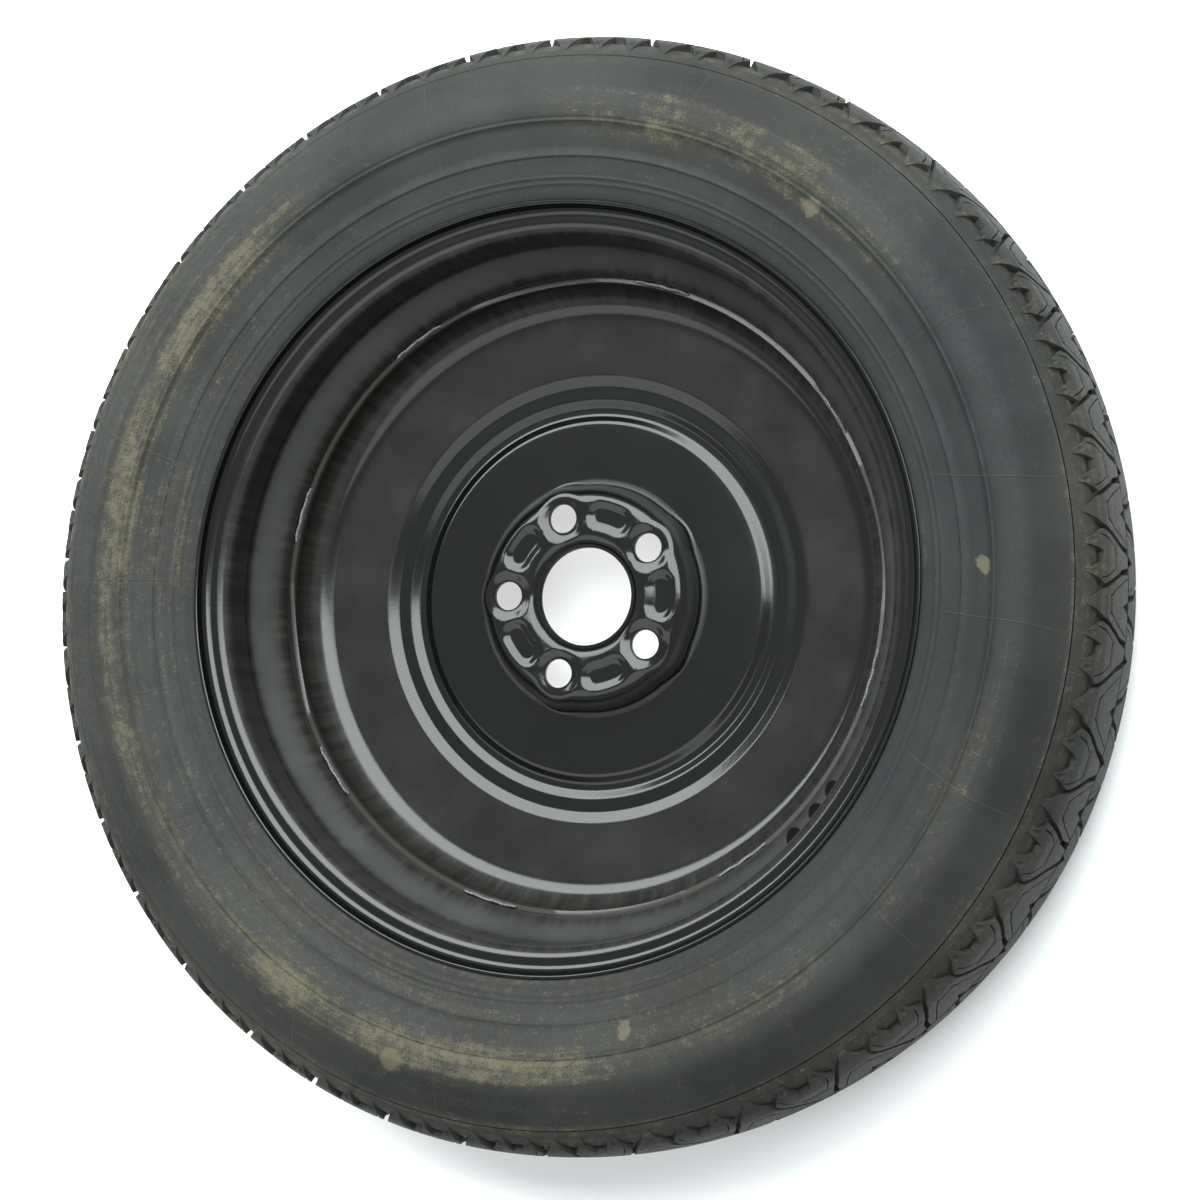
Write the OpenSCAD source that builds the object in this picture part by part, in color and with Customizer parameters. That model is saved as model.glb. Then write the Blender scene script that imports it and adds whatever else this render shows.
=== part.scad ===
// Space saver spare wheel: narrow temporary tyre on a pressed steel wheel.
// It lies flat on its outboard sidewall, with the side that faces the car on top.
// The wheel's axis is Z, and the floor that it lies on is the plane Z = 0.
// Profiles are drawn with the disc's hub face at height 0 and then lifted into place.

/* [Rim] */
// Distance between the two flange faces
rim_width = 101.6; // [96:0.1:108]
// Diameter of the bead seat at the flange face
bead_seat_d = 462; // [458:0.5:468]
// Height of each flange above the bead seat
flange_height = 17.3; // [16:0.1:19]
// How far the rolled edge reaches past the flange face
flange_roll = 10.5; // [9.8:0.1:12]
// Radius of the rolled edge, on the tyre's side
flange_radius = 9.5; // [8.5:0.1:9.7]
// Thickness of the rim's steel strip
rim_wall = 2.5; // [2.2:0.1:2.8]
// Depth of the drop-centre well below the bead seats
well_depth = 18.5; // [16:0.5:21]
// Width of the flat part of the well
well_width = 21.6; // [20:0.1:24]
// Width of each bead seat
bead_seat_width = 21; // [19.5:0.1:22]
// Height of the hump behind each bead seat
hump_height = 1.1; // [0.8:0.1:1.5]
// Distance from the hub face to the rim's centre plane
rim_offset = 14; // [12:0.5:16]

/* [Disc] */
// Thickness of the disc's steel blank
disc_wall = 3.5; // [3.2:0.1:3.8]
// Diameter of the centre bore
centre_bore_d = 65.1; // [60:0.1:70]
// Length of the collar round the centre bore
bore_collar = 10; // [9:0.5:12]
// Diameter of the circle through the bolt holes
bolt_circle_d = 108; // [106:0.5:112]
// Number of bolt holes
bolt_count = 5; // [4:1:5]
// Diameter of each bolt hole
bolt_hole_d = 19; // [16:0.5:20]
// Diameter of the hub pad between the bolt lobes
hub_pad_d = 133; // [130:0.5:136]
// How far the floor lies below the hub face
floor_depth = 20; // [18:0.5:23]
// Outer diameter of the flat floor round the hub pad
floor_d = 236; // [230:1:242]
// Depth of the ring groove outside the floor
groove_depth = 2.5; // [1.5:0.1:3]
// Height of the step from the ring groove to the dish
dish_step = 5; // [3.5:0.1:6]
// Rise of the dish towards its rim
dish_rise = 4.5; // [2:0.5:6]
// Height of the skirt's edge above the hub face
skirt_top = 12.5; // [11:0.5:13.5]
// Depth of the four low places in the skirt's edge
scallop_depth = 4; // [2:0.5:5]
// Clearance between the skirt and the well
skirt_clearance = 0.2; // [0.15:0.05:0.4]

/* [Welds] */
// Length of each weld bead round the skirt
weld_length = 40; // [25:1:50]
// Height of each weld bead
weld_height = 3.2; // [2:0.1:4]
// Angle from the middle of a low place to each weld beside it
weld_angle = 25; // [22:0.5:30]

/* [Tyre] */
// Height of the tyre's section above the bead seat
section_height = 132; // [126:0.5:136]
// Width of the tyre over its sidewalls
section_width = 155; // [150:0.5:160]
// Width of the tread between its rounded shoulders
tread_width = 88; // [82:1:94]
// Fall of the crowned tread from its middle to each shoulder
crown_drop = 3.25; // [1:0.25:5]
// Thickness of rubber under the tread
tread_wall = 10; // [9:0.5:12]
// Thickness of the sidewall
side_wall = 6; // [5:0.5:8]
// Clearance between the tyre's beads and the rim
bead_clearance = 0.25; // [0.2:0.05:0.4]
// Height of the raised rings on each sidewall
ring_height = 1; // [0.5:0.1:1.5]
// Width of the flat top of each raised ring
ring_width = 1.4; // [1:0.1:2]

/* [Tread] */
// Depth of the tread's grooves
tread_depth = 4.5; // [3.5:0.1:6]
// Width of each groove at the shoulder
groove_width = 3.4; // [2.5:0.1:4.5]
// How far the shoulder notches reach past the edge of the tread
notch_reach = 13; // [9:0.5:14]
// Width of the blunt end of every third shoulder notch
blunt_width = 6; // [4:0.5:8]
// Distance from a groove's end to the nearest point where two blocks meet
groove_spread = 5.5; // [4.5:0.5:7]
// Width of the line round the middle of the tread
centre_line_width = 2; // [1:0.1:3]
// Length of the notch in each wide block, beside the line
block_notch = 13; // [10:0.5:14]

/* [Valve] */
// Tilt of the valve towards the wheel's axis
valve_tilt = 25; // [22:0.5:27]
// Diameter of the valve hole
valve_hole_d = 11.3; // [11:0.1:11.8]
// Length of the valve outside the rim
valve_reach = 33; // [31:0.5:35]
// Length of rubber outside the rim
rubber_reach = 22; // [20:0.5:23]
// Diameter of the valve's rubber shoulder
rubber_d = 14; // [13.5:0.1:14.4]
// Diameter of the thread for the cap
cap_thread_d = 7.7; // [7.4:0.1:8]
// Diameter of the pin
pin_d = 1; // [0.8:0.1:1.1]
// Diameter of the spring's wire
spring_wire_d = 0.35; // [0.3:0.05:0.4]
// Outer diameter of the cap
cap_d = 10; // [9.6:0.1:10.6]
// Clearance between bonded or screwed pieces of the valve
valve_clearance = 0.1; // [0.05:0.05:0.15]

/* [Hidden] */
$fn = 96;

// Steps in each rounded corner of a profile
corner_steps = 6;
// Taper of a bead seat
seat_taper = 5;
// Length of a cutter past the face that it cuts
past = 1;

seat_r = bead_seat_d / 2;
well_r = seat_r - well_depth;
flange_r = seat_r + flange_height;
rim_half = rim_width / 2;
// Diameter lost over the width of a tapered seat
seat_end_r = seat_r - bead_seat_width * tan(seat_taper);
hump_r = seat_end_r + hump_height;
hump_width = 8;
// Radius between each bead seat and its flange
heel_radius = 6.5;
// The valve stands square to the outboard wall of the well
well_out_z = rim_offset - rim_half + bead_seat_width + hump_width / 2
    + (hump_r - well_r) * tan(valve_tilt);
well_in_z = well_out_z + well_width;

bore_r = centre_bore_d / 2;
bolt_circle_r = bolt_circle_d / 2;
hub_pad_r = hub_pad_d / 2;
floor_r = floor_d / 2;
skirt_r = well_r - rim_wall - skirt_clearance;
skirt_in_r = skirt_r - disc_wall;
first_bolt_angle = 36;
// Rounding of the hub face into the centre bore
bore_radius = 4;

function unit(v) = v / norm(v);
function left_of(d) = [-d.y, d.x];
function point(p) = [p.x, p.y];

// Points of one rounded corner b between a and c, or b itself if its radius is 0
function corner(a, b, c) =
    b.z == 0 ? [point(b)] :
    let (
        back = unit(point(a) - point(b)),
        on = unit(point(c) - point(b)),
        half = acos(back * on) / 2,
        centre = point(b) + unit(back + on) * b.z / sin(half),
        from = point(b) + back * b.z / tan(half) - centre,
        to = point(b) + on * b.z / tan(half) - centre,
        start = atan2(from.y, from.x),
        sweep = (atan2(to.y, to.x) - start + 540) % 360 - 180
    )
    [for (i = [0:corner_steps])
        centre + b.z * [cos(start + sweep * i / corner_steps), sin(start + sweep * i / corner_steps)]];

// Open path through points [r, z, corner radius]
function rounded_path(p) = [
    point(p[0]),
    for (i = [1:len(p) - 2]) each corner(p[i - 1], p[i], p[i + 1]),
    point(p[len(p) - 1])
];

// Direction to the left of a path at point i, long enough to keep a sheet's thickness
function mitre(p, i) =
    i == 0 ? left_of(unit(p[1] - p[0])) :
    i == len(p) - 1 ? left_of(unit(p[i] - p[i - 1])) :
    let (
        before = left_of(unit(p[i] - p[i - 1])),
        after = left_of(unit(p[i + 1] - p[i])),
        middle = unit(before + after)
    )
    middle / (middle * before);

// Closed section of a sheet of thickness t that lies to the left of a path
function sheet(p, t) = concat(
    p,
    [for (i = [len(p) - 1:-1:0]) p[i] + t * mitre(p, i)]
);

// The same half profile on both sides of the rim's centre plane
function on_side(p, side) = [for (q = p) [q.x, rim_offset + side * q.y, q.z]];
function turned_round(p) = [for (i = [len(p) - 1:-1:0]) p[i]];

// Rim, seen in section from the inboard edge to the outboard edge, on the tyre's side
flange_profile = [
    [flange_r, rim_half + flange_roll, 0],
    [flange_r, rim_half, flange_radius],
    [seat_r, rim_half, heel_radius],
    [seat_end_r, rim_half - bead_seat_width, 5],
    [hump_r, rim_half - bead_seat_width - hump_width / 2, 5]
];
well_profile = [
    [hump_r - hump_height, rim_offset + rim_half - bead_seat_width - hump_width, 10],
    [well_r, well_in_z, 10],
    [well_r, well_out_z, 3.5],
    [hump_r, rim_offset - rim_half + bead_seat_width + hump_width / 2, 3]
];
outboard_profile = [
    [seat_end_r, rim_half - bead_seat_width, 4],
    [seat_r, rim_half, heel_radius],
    [flange_r, rim_half, flange_radius],
    [flange_r, rim_half + flange_roll, 0]
];
rim_path = rounded_path(concat(
    on_side(flange_profile, 1),
    well_profile,
    on_side(outboard_profile, -1)
));

// Valve hole: its middle lies on the air side of the well's outboard wall
valve_r = (well_r + hump_r) / 2 - 0.9;
valve_z = well_out_z - (valve_r - well_r) * tan(valve_tilt);

// Disc, seen in section from the bore to the skirt's edge, on its inboard face
groove_z = -floor_depth - groove_depth;
dish_z = groove_z + dish_step;
crown_z = dish_z + dish_rise;
disc_profile = [
    [bore_r, -bore_collar, 0],
    [bore_r, 0, bore_radius],
    [hub_pad_r, 0, 5],
    [hub_pad_r + 7, -floor_depth, 6],
    [floor_r, -floor_depth, 6],
    [floor_r + 5, groove_z, 5],
    [floor_r + 10, groove_z, 5],
    [floor_r + 15, groove_z + groove_depth, 6],
    [floor_r + 24, groove_z + groove_depth, 6],
    [floor_r + 31, dish_z, 8],
    [skirt_in_r, crown_z, 20],
    [skirt_in_r, skirt_top, 0]
];

// Places along the valve, measured outwards from the rim's outboard surface
bulb_length = 7;
tip_s = valve_reach;
cap_thread_r = cap_thread_d / 2;
stem_r = 2.7;
core_thread_r = 2.6;
core_top_s = tip_s - 1;
core_neck_s = core_top_s - 4;
core_seat_s = core_neck_s - 5;
core_end_s = core_seat_s - 3.5;
core_r = 1.75;
chamber_r = 1.35;
chamber_floor_s = core_end_s + 2.5;
pin_r = pin_d / 2;
pin_play = 0.1;
pin_head_s = core_top_s - 1.6;
pin_head_thickness = 0.6;
seal_thickness = 0.8;
cup_length = 2;
cap_start_s = rubber_reach + 1.5;
cap_inner_s = tip_s + 1.2;
cap_end_s = cap_inner_s + 1.8;

// Lifts a piece from the hub face's height to its place above the floor
hub_height = section_width / 2 - rim_offset;
module lifted() {
    translate([0, 0, hub_height])
        children();
}

module turn(points) {
    rotate_extrude() polygon(points);
}

// Puts a piece of the valve, drawn along +Z, in the valve hole
module in_valve_hole() {
    translate([valve_r, 0, valve_z])
        rotate([0, 180 + valve_tilt, 0])
            translate([0, 0, rim_wall])
                children();
}

module around(count, first = 0) {
    for (i = [0:count - 1])
        rotate([0, 0, first + i * 360 / count])
            children();
}

// Tyre
tyre_r = seat_r + section_height;
side_height = tyre_r - flange_r;
side_half = section_width / 2;
tread_half = tread_width / 2;
shoulder_r = tyre_r - crown_drop - 5.2;
shoulder_z = tread_half + 5.5;
shoulder_low_r = tyre_r - crown_drop - 13;
shoulder_low_z = tread_half + 12.5;
bead_profile = [
    [seat_end_r + bead_clearance, rim_half - bead_seat_width + 1, 0],
    [seat_r + bead_clearance, rim_half - bead_clearance, heel_radius],
    [flange_r + bead_clearance, rim_half - bead_clearance, flange_radius + bead_clearance],
    [flange_r + bead_clearance, rim_half + flange_roll - 2.5, 1.2],
    [flange_r + 4, rim_half + flange_roll - 0.5, 3]
];
outer_profile = concat(bead_profile, [
    [flange_r + 0.244 * side_height, side_half - 9.7, 60],
    [flange_r + 0.485 * side_height, side_half, 29],
    [flange_r + 0.597 * side_height, side_half, 24],
    [flange_r + 0.785 * side_height, side_half - 14, 50],
    [shoulder_low_r, shoulder_low_z, 0],
    [shoulder_r, shoulder_z, 0],
    [tyre_r - crown_drop, tread_half - 2, 0],
    [tyre_r - 0.3 * crown_drop, 0.55 * tread_half, 0],
    [tyre_r, 0.15 * tread_half, 0],
    [tyre_r, centre_line_width / 2, 0],
    [tyre_r - tread_depth / 2, centre_line_width / 2, 0]
]);

function mirrored(p) = [for (i = [len(p) - 1:-1:0]) [p[i].x, -p[i].y, p[i].z]];
function raised(p) = [for (q = p) [q.x, rim_offset + q.y]];

tyre_outside = rounded_path(concat(outer_profile, mirrored(outer_profile)));
tyre_inside_half = [
    [seat_end_r + bead_clearance + 4, rim_half - bead_seat_width + 1, 0],
    [seat_r + 14, rim_half - 14, 14],
    [flange_r + 0.125 * side_height, side_half - side_wall - 11, 20],
    [flange_r + 0.446 * side_height, side_half - side_wall + 1, 35],
    [flange_r + 0.768 * side_height, side_half - side_wall - 16, 30],
    [tyre_r - crown_drop - tread_wall, tread_half - 6, 18]
];
tyre_inside = rounded_path(concat(tyre_inside_half, mirrored(tyre_inside_half)));

// Raised rings on both sidewalls, by their places between the rim's edge and the crown
ring_places = [0.125, 0.243, 0.428, 0.84];
side_surface = [for (q = tyre_outside) if (q.x > flange_r + 4 && q.y > tread_half) [q.x, q.y]];
function side_z(r) = lookup(r, side_surface);
function ring_profile(r) =
    let (inner = r - ring_width, outer = r + ring_width, top = ring_width / 2)
    [
        [inner, side_z(inner) - 2 * ring_height],
        [inner, side_z(inner) - 0.3 * ring_height],
        [r - top, side_z(r - top) + ring_height],
        [r + top, side_z(r + top) + ring_height],
        [outer, side_z(outer) - 0.3 * ring_height],
        [outer, side_z(outer) - 2 * ring_height]
    ];
module side_rings() {
    for (place = ring_places) {
        turn(raised(ring_profile(flange_r + place * side_height)));
        translate([0, 0, 2 * rim_offset])
            mirror([0, 0, 1])
                turn(raised(ring_profile(flange_r + place * side_height)));
    }
}

// Short and long tread pitches in turn: they differ so that the tyre doesn't hum
pitch_order = [
    1.25, 1.25, 1.25, 1, 1.25, 1, 1, 1, 1, 1, 1.25, 1.25,
    1.25, 1.25, 1.25, 1, 1.25, 1, 1, 1.25, 1.25, 1, 1, 1,
    1.25, 1, 1, 1, 1.25, 1, 1, 1, 1, 1, 1.25, 1.25
];
first_pitch_angle = -60;
function total(list, count, i = 0) = i < count ? list[i] + total(list, count, i + 1) : 0;
function pitch_angle(i) =
    first_pitch_angle + 360 * total(pitch_order, i) / total(pitch_order, len(pitch_order));
function pitch_middle(i) = i < len(pitch_order)
    ? (pitch_angle(i) + pitch_angle(i + 1)) / 2
    : pitch_middle(0) + 360;

// Cuts an outline into the tread, down to a flat floor that slopes away from the tread's middle
cut_height = 12;
module cut_at(angle, floor_r, floor_z, slope, outline) {
    rotate([0, 0, angle])
        translate([floor_r, 0, rim_offset + floor_z])
            rotate([0, -slope, 0])
                rotate([90, 0, 90])
                    linear_extrude(height = cut_height) polygon(outline);
}

// Shoulder notches: wide towards the sidewall, where their floors come up to the surface
notch_end_z = tread_half + 2;
notch_end_r = tyre_r - crown_drop - tread_depth - 2;
notch_tip_z = tread_half + notch_reach;
notch_slope = atan2(notch_end_r - shoulder_low_r, notch_tip_z - notch_end_z);
notch_length = norm([notch_end_r - shoulder_low_r, notch_tip_z - notch_end_z]);
notch_half_share = 0.165;
module notch_at(angle, half, width) {
    tip = notch_half_share * width;
    outline = [[-tip, notch_length], [-half, -2], [half, -2], [tip, notch_length]];
    cut_at(angle, notch_end_r, notch_end_z, notch_slope, outline);
}

// Grooves: each runs from a notch to the tread's middle and widens on its way
groove_share = 0.26;
foot_share = 0.175;
knee_share = 0.355;
groove_slope = atan2(crown_drop + 1, tread_half);
function groove_outline(width) =
    let (
        half = groove_width / 2,
        foot = (foot_share - groove_share) * width,
        knee = (knee_share - groove_share) * width,
        end = (0.5 - groove_share) * width - groove_spread
    )
    [
        [foot - half, tread_half + 3],
        [knee - half, 0.41 * tread_half],
        [end - 1.35 * half, 0],
        [end + 1.35 * half, 0],
        [knee + half, 0.41 * tread_half],
        [foot + half, tread_half + 3]
    ];
function flipped(p) = [for (i = [len(p) - 1:-1:0]) [-p[i].x, p[i].y]];
function block_notch_outline() =
    let (half = groove_spread - 1.2)
    [[-half, centre_line_width / 4], [half, centre_line_width / 4], [0, block_notch]];

// All the cuts of one tread pitch, on the inboard half
module pitch_cuts(first, last) {
    middle = (first + last) / 2;
    width = (last - first) * PI / 180 * tyre_r;
    groove_angle = (last - first) * groove_share;
    foot_angle = (last - first) * foot_share;
    notch_at(first, blunt_width / 2, width);
    notch_at(middle + foot_angle, groove_width / 2, width);
    notch_at(middle - foot_angle, groove_width / 2, width);
    cut_at(middle + groove_angle, tyre_r - tread_depth, 0, groove_slope, groove_outline(width));
    cut_at(middle - groove_angle, tyre_r - tread_depth, 0, groove_slope, flipped(groove_outline(width)));
    cut_at(middle, tyre_r - tread_depth, 0, groove_slope, block_notch_outline());
}

module tread_cuts() {
    for (i = [0:len(pitch_order) - 1]) {
        pitch_cuts(pitch_angle(i), pitch_angle(i + 1));
        translate([0, 0, 2 * rim_offset])
            mirror([0, 0, 1])
                pitch_cuts(pitch_middle(i), pitch_middle(i + 1));
    }
}

module tyre() {
    color("#33393b") lifted()
        difference() {
            union() {
                turn(raised(concat(tyre_outside, turned_round(tyre_inside))));
                side_rings();
            }
            tread_cuts();
        }
}

// Rim with its valve hole
module rim() {
    color("#1b1c1d") lifted()
        difference() {
            turn(sheet(rim_path, -rim_wall));
            in_valve_hole()
                translate([0, 0, -rim_wall - past])
                    cylinder(h = rim_wall + 2 * past, d = valve_hole_d);
        }
}

// Hub pad's round lobe at one bolt hole
lobe_r = hub_pad_r + 2.5 - bolt_circle_r;
module bolt_lobe() {
    translate([bolt_circle_r, 0, 0])
        turn([[0, -disc_wall], [0, 0], [lobe_r - 2, 0], [lobe_r, -2], [lobe_r + 1.4, -disc_wall - 2]]);
}

// Pressed seat round one bolt hole: a dimple inboard and a cone outboard
bolt_r = bolt_hole_d / 2;
dimple_width = 4;
dimple_depth = 2;
seat_depth = 6.5;
seat_cone = 2;
bolt_wall = 2.5;
module bolt_seat() {
    translate([bolt_circle_r, 0, -seat_depth])
        cylinder(h = seat_depth - 1, r1 = bolt_r + 3.4, r2 = bolt_r + 4.6);
}
module bolt_hole() {
    seat_top = -dimple_depth - bolt_wall;
    translate([bolt_circle_r, 0, 0]) {
        translate([0, 0, -seat_depth - past])
            cylinder(h = seat_depth + 2 * past, r = bolt_r);
        turn([[0, -dimple_depth], [bolt_r, -dimple_depth], [bolt_r + dimple_width, 0], [0, 0]]);
        turn([[0, -seat_depth], [bolt_r + seat_cone, -seat_depth], [bolt_r, seat_top], [0, seat_top]]);
    }
}

// Pocket pressed into the hub pad between two bolt holes, and its back on the other face
pocket_depth = 2.5;
pocket_half_width = 6.5;
pocket_half_angle = 9;
module kidney(section) {
    rotate([0, 0, -pocket_half_angle])
        rotate_extrude(angle = 2 * pocket_half_angle)
            translate([bolt_circle_r, 0])
                polygon(concat(section, [for (q = turned_round(section)) [-q.x, q.y]]));
    for (side = [-1, 1])
        rotate([0, 0, side * pocket_half_angle])
            translate([bolt_circle_r, 0, 0])
                turn(concat([[0, section[0].y]], section, [[0, section[len(section) - 1].y]]));
}
module pocket() {
    kidney([
        [pocket_half_width - pocket_depth, -pocket_depth],
        [pocket_half_width, 0],
        [pocket_half_width, past]
    ]);
}
module pocket_back() {
    kidney([
        [pocket_half_width - pocket_depth, -disc_wall - pocket_depth],
        [pocket_half_width, -disc_wall],
        [pocket_half_width, -disc_wall / 2]
    ]);
}

scallop_first_angle = 10;
scallop_r = 260;
module scallop() {
    translate([0, 0, skirt_top - scallop_depth + scallop_r])
        rotate([0, 90, 0])
            cylinder(h = skirt_r + past, r = scallop_r, $fn = 180);
}

module disc() {
    color("#17181a") lifted()
        difference() {
            union() {
                turn(sheet(rounded_path(disc_profile), -disc_wall));
                around(bolt_count, first_bolt_angle) bolt_lobe();
                around(bolt_count, first_bolt_angle) bolt_seat();
                around(bolt_count, first_bolt_angle + 180 / bolt_count) pocket_back();
            }
            around(bolt_count, first_bolt_angle) bolt_hole();
            around(bolt_count, first_bolt_angle + 180 / bolt_count) pocket();
            intersection() {
                difference() {
                    cylinder(h = skirt_top + past, r = skirt_r + past);
                    cylinder(h = skirt_top + past, r = skirt_in_r - past);
                }
                around(4, scallop_first_angle) scallop();
            }
        }
}

// Stitch welds in the corner between the skirt's edge and the well
weld_r = well_r - rim_wall;
weld_half_angle = weld_length / 2 / weld_r * 180 / PI;
weld_gap = 0.05;
weld_section = [
    [skirt_in_r + 0.6, skirt_top],
    [weld_r - weld_gap, skirt_top],
    [weld_r - weld_gap, skirt_top + weld_height],
    [weld_r - 1, skirt_top + weld_height - 0.3],
    [weld_r - 2.2, skirt_top + weld_height * 0.55],
    [skirt_in_r + 0.6, skirt_top + 0.5]
];
module disc_welds() {
    color("#8d9496") lifted()
        around(4, scallop_first_angle)
            for (side = [-1, 1])
                rotate([0, 0, side * weld_angle - weld_half_angle])
                    rotate_extrude(angle = 2 * weld_half_angle) polygon(weld_section);
}

// Rubber body that snaps into the valve hole
module valve_body() {
    shoulder_r = rubber_d / 2;
    neck_r = valve_hole_d / 2 - valve_clearance;
    bond_r = stem_r + valve_clearance;
    air_side = -rim_wall - valve_clearance;
    color("#202324") lifted()
        in_valve_hole()
            turn([
                [bond_r, air_side - bulb_length],
                [shoulder_r - 2.4, air_side - bulb_length],
                [shoulder_r - 0.6, air_side - 1.6],
                [shoulder_r - 0.6, air_side],
                [neck_r, air_side],
                [neck_r, valve_clearance],
                [shoulder_r, valve_clearance],
                [shoulder_r, 2.6],
                [shoulder_r - 1.1, 6],
                [5, rubber_reach - 3],
                [4.4, rubber_reach],
                [bond_r, rubber_reach]
            ]);
}

// Brass stem with the cap's thread outside and the core's seat inside
module valve_stem() {
    inner_end = -rim_wall - valve_clearance - bulb_length + 1;
    color("#b08d4a") lifted()
        in_valve_hole()
            turn([
                [1.5, inner_end],
                [stem_r, inner_end],
                [stem_r, rubber_reach + valve_clearance],
                [cap_thread_r - 0.6, rubber_reach + valve_clearance],
                [cap_thread_r, rubber_reach + 0.7],
                [cap_thread_r, tip_s - 0.6],
                [cap_thread_r - 0.6, tip_s],
                [core_thread_r + valve_clearance, tip_s],
                [core_thread_r + valve_clearance, core_neck_s - 0.5],
                [core_r + 0.7, core_neck_s - 1.5],
                [core_r + 0.7, core_seat_s],
                [core_r + 0.25, core_seat_s - 1.6],
                [core_r + 0.25, core_end_s - 10],
                [1.5, core_end_s - 11]
            ]);
}

// Threaded barrel that holds the spring and guides the pin
module core_barrel() {
    color("#b59a5b") lifted()
        in_valve_hole()
            turn([
                [pin_r + pin_play, core_end_s],
                [core_r - 0.35, core_end_s],
                [core_r - 0.15, core_end_s + 0.5],
                [core_r - 0.15, core_seat_s - 2],
                [core_r - 0.45, core_seat_s - 1.9],
                [core_r - 0.45, core_seat_s - 0.1],
                [core_r, core_seat_s],
                [core_r, core_neck_s],
                [core_thread_r, core_neck_s + 0.4],
                [core_thread_r, core_top_s],
                [chamber_r, core_top_s],
                [chamber_r, chamber_floor_s],
                [pin_r + pin_play, chamber_floor_s]
            ]);
}

// Ring seal in the barrel's groove
module core_seal() {
    inner = core_r - 0.35;
    color("#9c2f2a") lifted()
        in_valve_hole()
            turn([
                [inner, core_seat_s - 1.8],
                [core_r + 0.05, core_seat_s - 1.8],
                [core_r + 0.5, core_seat_s - 0.2],
                [inner, core_seat_s - 0.2]
            ]);
}

// Pin with its swaged head, pressed in to let air through
module valve_pin() {
    color("#c9c4b4") lifted()
        in_valve_hole()
            turn([
                [0, core_end_s - seal_thickness - cup_length - 1.2],
                [pin_r * 0.6, core_end_s - seal_thickness - cup_length - 1.2],
                [pin_r, core_end_s - seal_thickness - cup_length - 0.8],
                [pin_r, pin_head_s],
                [chamber_r - 0.2, pin_head_s],
                [chamber_r - 0.2, pin_head_s + pin_head_thickness - 0.2],
                [pin_r, pin_head_s + pin_head_thickness],
                [pin_r, core_top_s + 0.3],
                [pin_r * 0.6, core_top_s + 0.6],
                [0, core_top_s + 0.6]
            ]);
}

// Cup that carries the face seal on the pin
module pin_cup() {
    fit = pin_r + 0.02;
    low = core_end_s - seal_thickness - cup_length;
    color("#b59a5b") lifted()
        in_valve_hole()
            turn([
                [fit, low],
                [1, low],
                [1.45, low + 0.7],
                [1.45, low + cup_length],
                [fit, low + cup_length]
            ]);
}

// Rubber face seal under the end of the barrel
module pin_seal() {
    fit = pin_r + 0.02;
    color("#202020") lifted()
        in_valve_hole()
            turn([
                [fit, core_end_s - seal_thickness],
                [1.4, core_end_s - seal_thickness],
                [1.4, core_end_s - 0.02],
                [fit, core_end_s - 0.02]
            ]);
}

// Coil spring between the floor of the barrel's chamber and the pin's head
spring_turns = 7;
spring_sides = 8;
spring_steps = 14;
module coil(mean_r, wire_r, height, turns) {
    rings = turns * spring_steps;
    rise = (height - 2 * wire_r) / rings;
    points = [
        for (i = [0:rings], k = [0:spring_sides - 1])
            let (
                a = i * 360 / spring_steps,
                b = k * 360 / spring_sides,
                r = mean_r + wire_r * cos(b)
            )
            [r * cos(a), r * sin(a), wire_r + i * rise + wire_r * sin(b)]
    ];
    faces = concat(
        [[for (k = [0:spring_sides - 1]) k]],
        [for (i = [0:rings - 1], k = [0:spring_sides - 1])
            let (next = (k + 1) % spring_sides, low = i * spring_sides)
            [low + k, low + spring_sides + k, low + spring_sides + next, low + next]],
        [[for (k = [spring_sides - 1:-1:0]) rings * spring_sides + k]]
    );
    polyhedron(points, faces, convexity = 10);
}
module valve_spring() {
    wire_r = spring_wire_d / 2;
    color("#9aa0a3") lifted()
        in_valve_hole()
            translate([0, 0, chamber_floor_s])
                coil((pin_r + chamber_r) / 2, wire_r, pin_head_s - chamber_floor_s, spring_turns);
}

// Cap with a ribbed grip
cap_r = cap_d / 2;
grip_ribs = 18;
module valve_cap() {
    bore = cap_thread_r + valve_clearance;
    color("#1d1f20") lifted()
        in_valve_hole()
            difference() {
                turn([
                    [bore, cap_start_s],
                    [cap_r - 0.5, cap_start_s],
                    [cap_r - 0.2, cap_start_s + 0.6],
                    [cap_r - 0.3, cap_end_s - 2],
                    [cap_r - 1.4, cap_end_s],
                    [0, cap_end_s],
                    [0, cap_inner_s],
                    [bore, cap_inner_s]
                ]);
                around(grip_ribs)
                    translate([cap_r, 0, cap_start_s + 1.5])
                        cylinder(h = cap_end_s - cap_start_s - 4, r = 0.5, $fn = 16);
            }
}

// Rubber disc inside the cap, over the end of the stem
module cap_seal() {
    color("#2a2a2a") lifted()
        in_valve_hole()
            translate([0, 0, tip_s + 0.2])
                cylinder(h = cap_inner_s - tip_s - 0.2, r = cap_thread_r - 0.3);
}

tyre();
rim();
disc();
disc_welds();
valve_body();
valve_stem();
core_barrel();
core_seal();
valve_pin();
pin_cup();
pin_seal();
valve_spring();
valve_cap();
cap_seal();
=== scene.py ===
"""Looks of a space saver spare wheel that lies on its outboard side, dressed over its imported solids.

All lengths are metres in the wheel's own frame: the axis is Z, and the floor is Z = 0.
"""

import logging
import math
from collections.abc import Callable
from dataclasses import dataclass, field
from enum import Enum
from functools import reduce

import bpy
import numpy as np
from mathutils import Matrix, Vector
from mathutils.geometry import delaunay_2d_cdt

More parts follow.
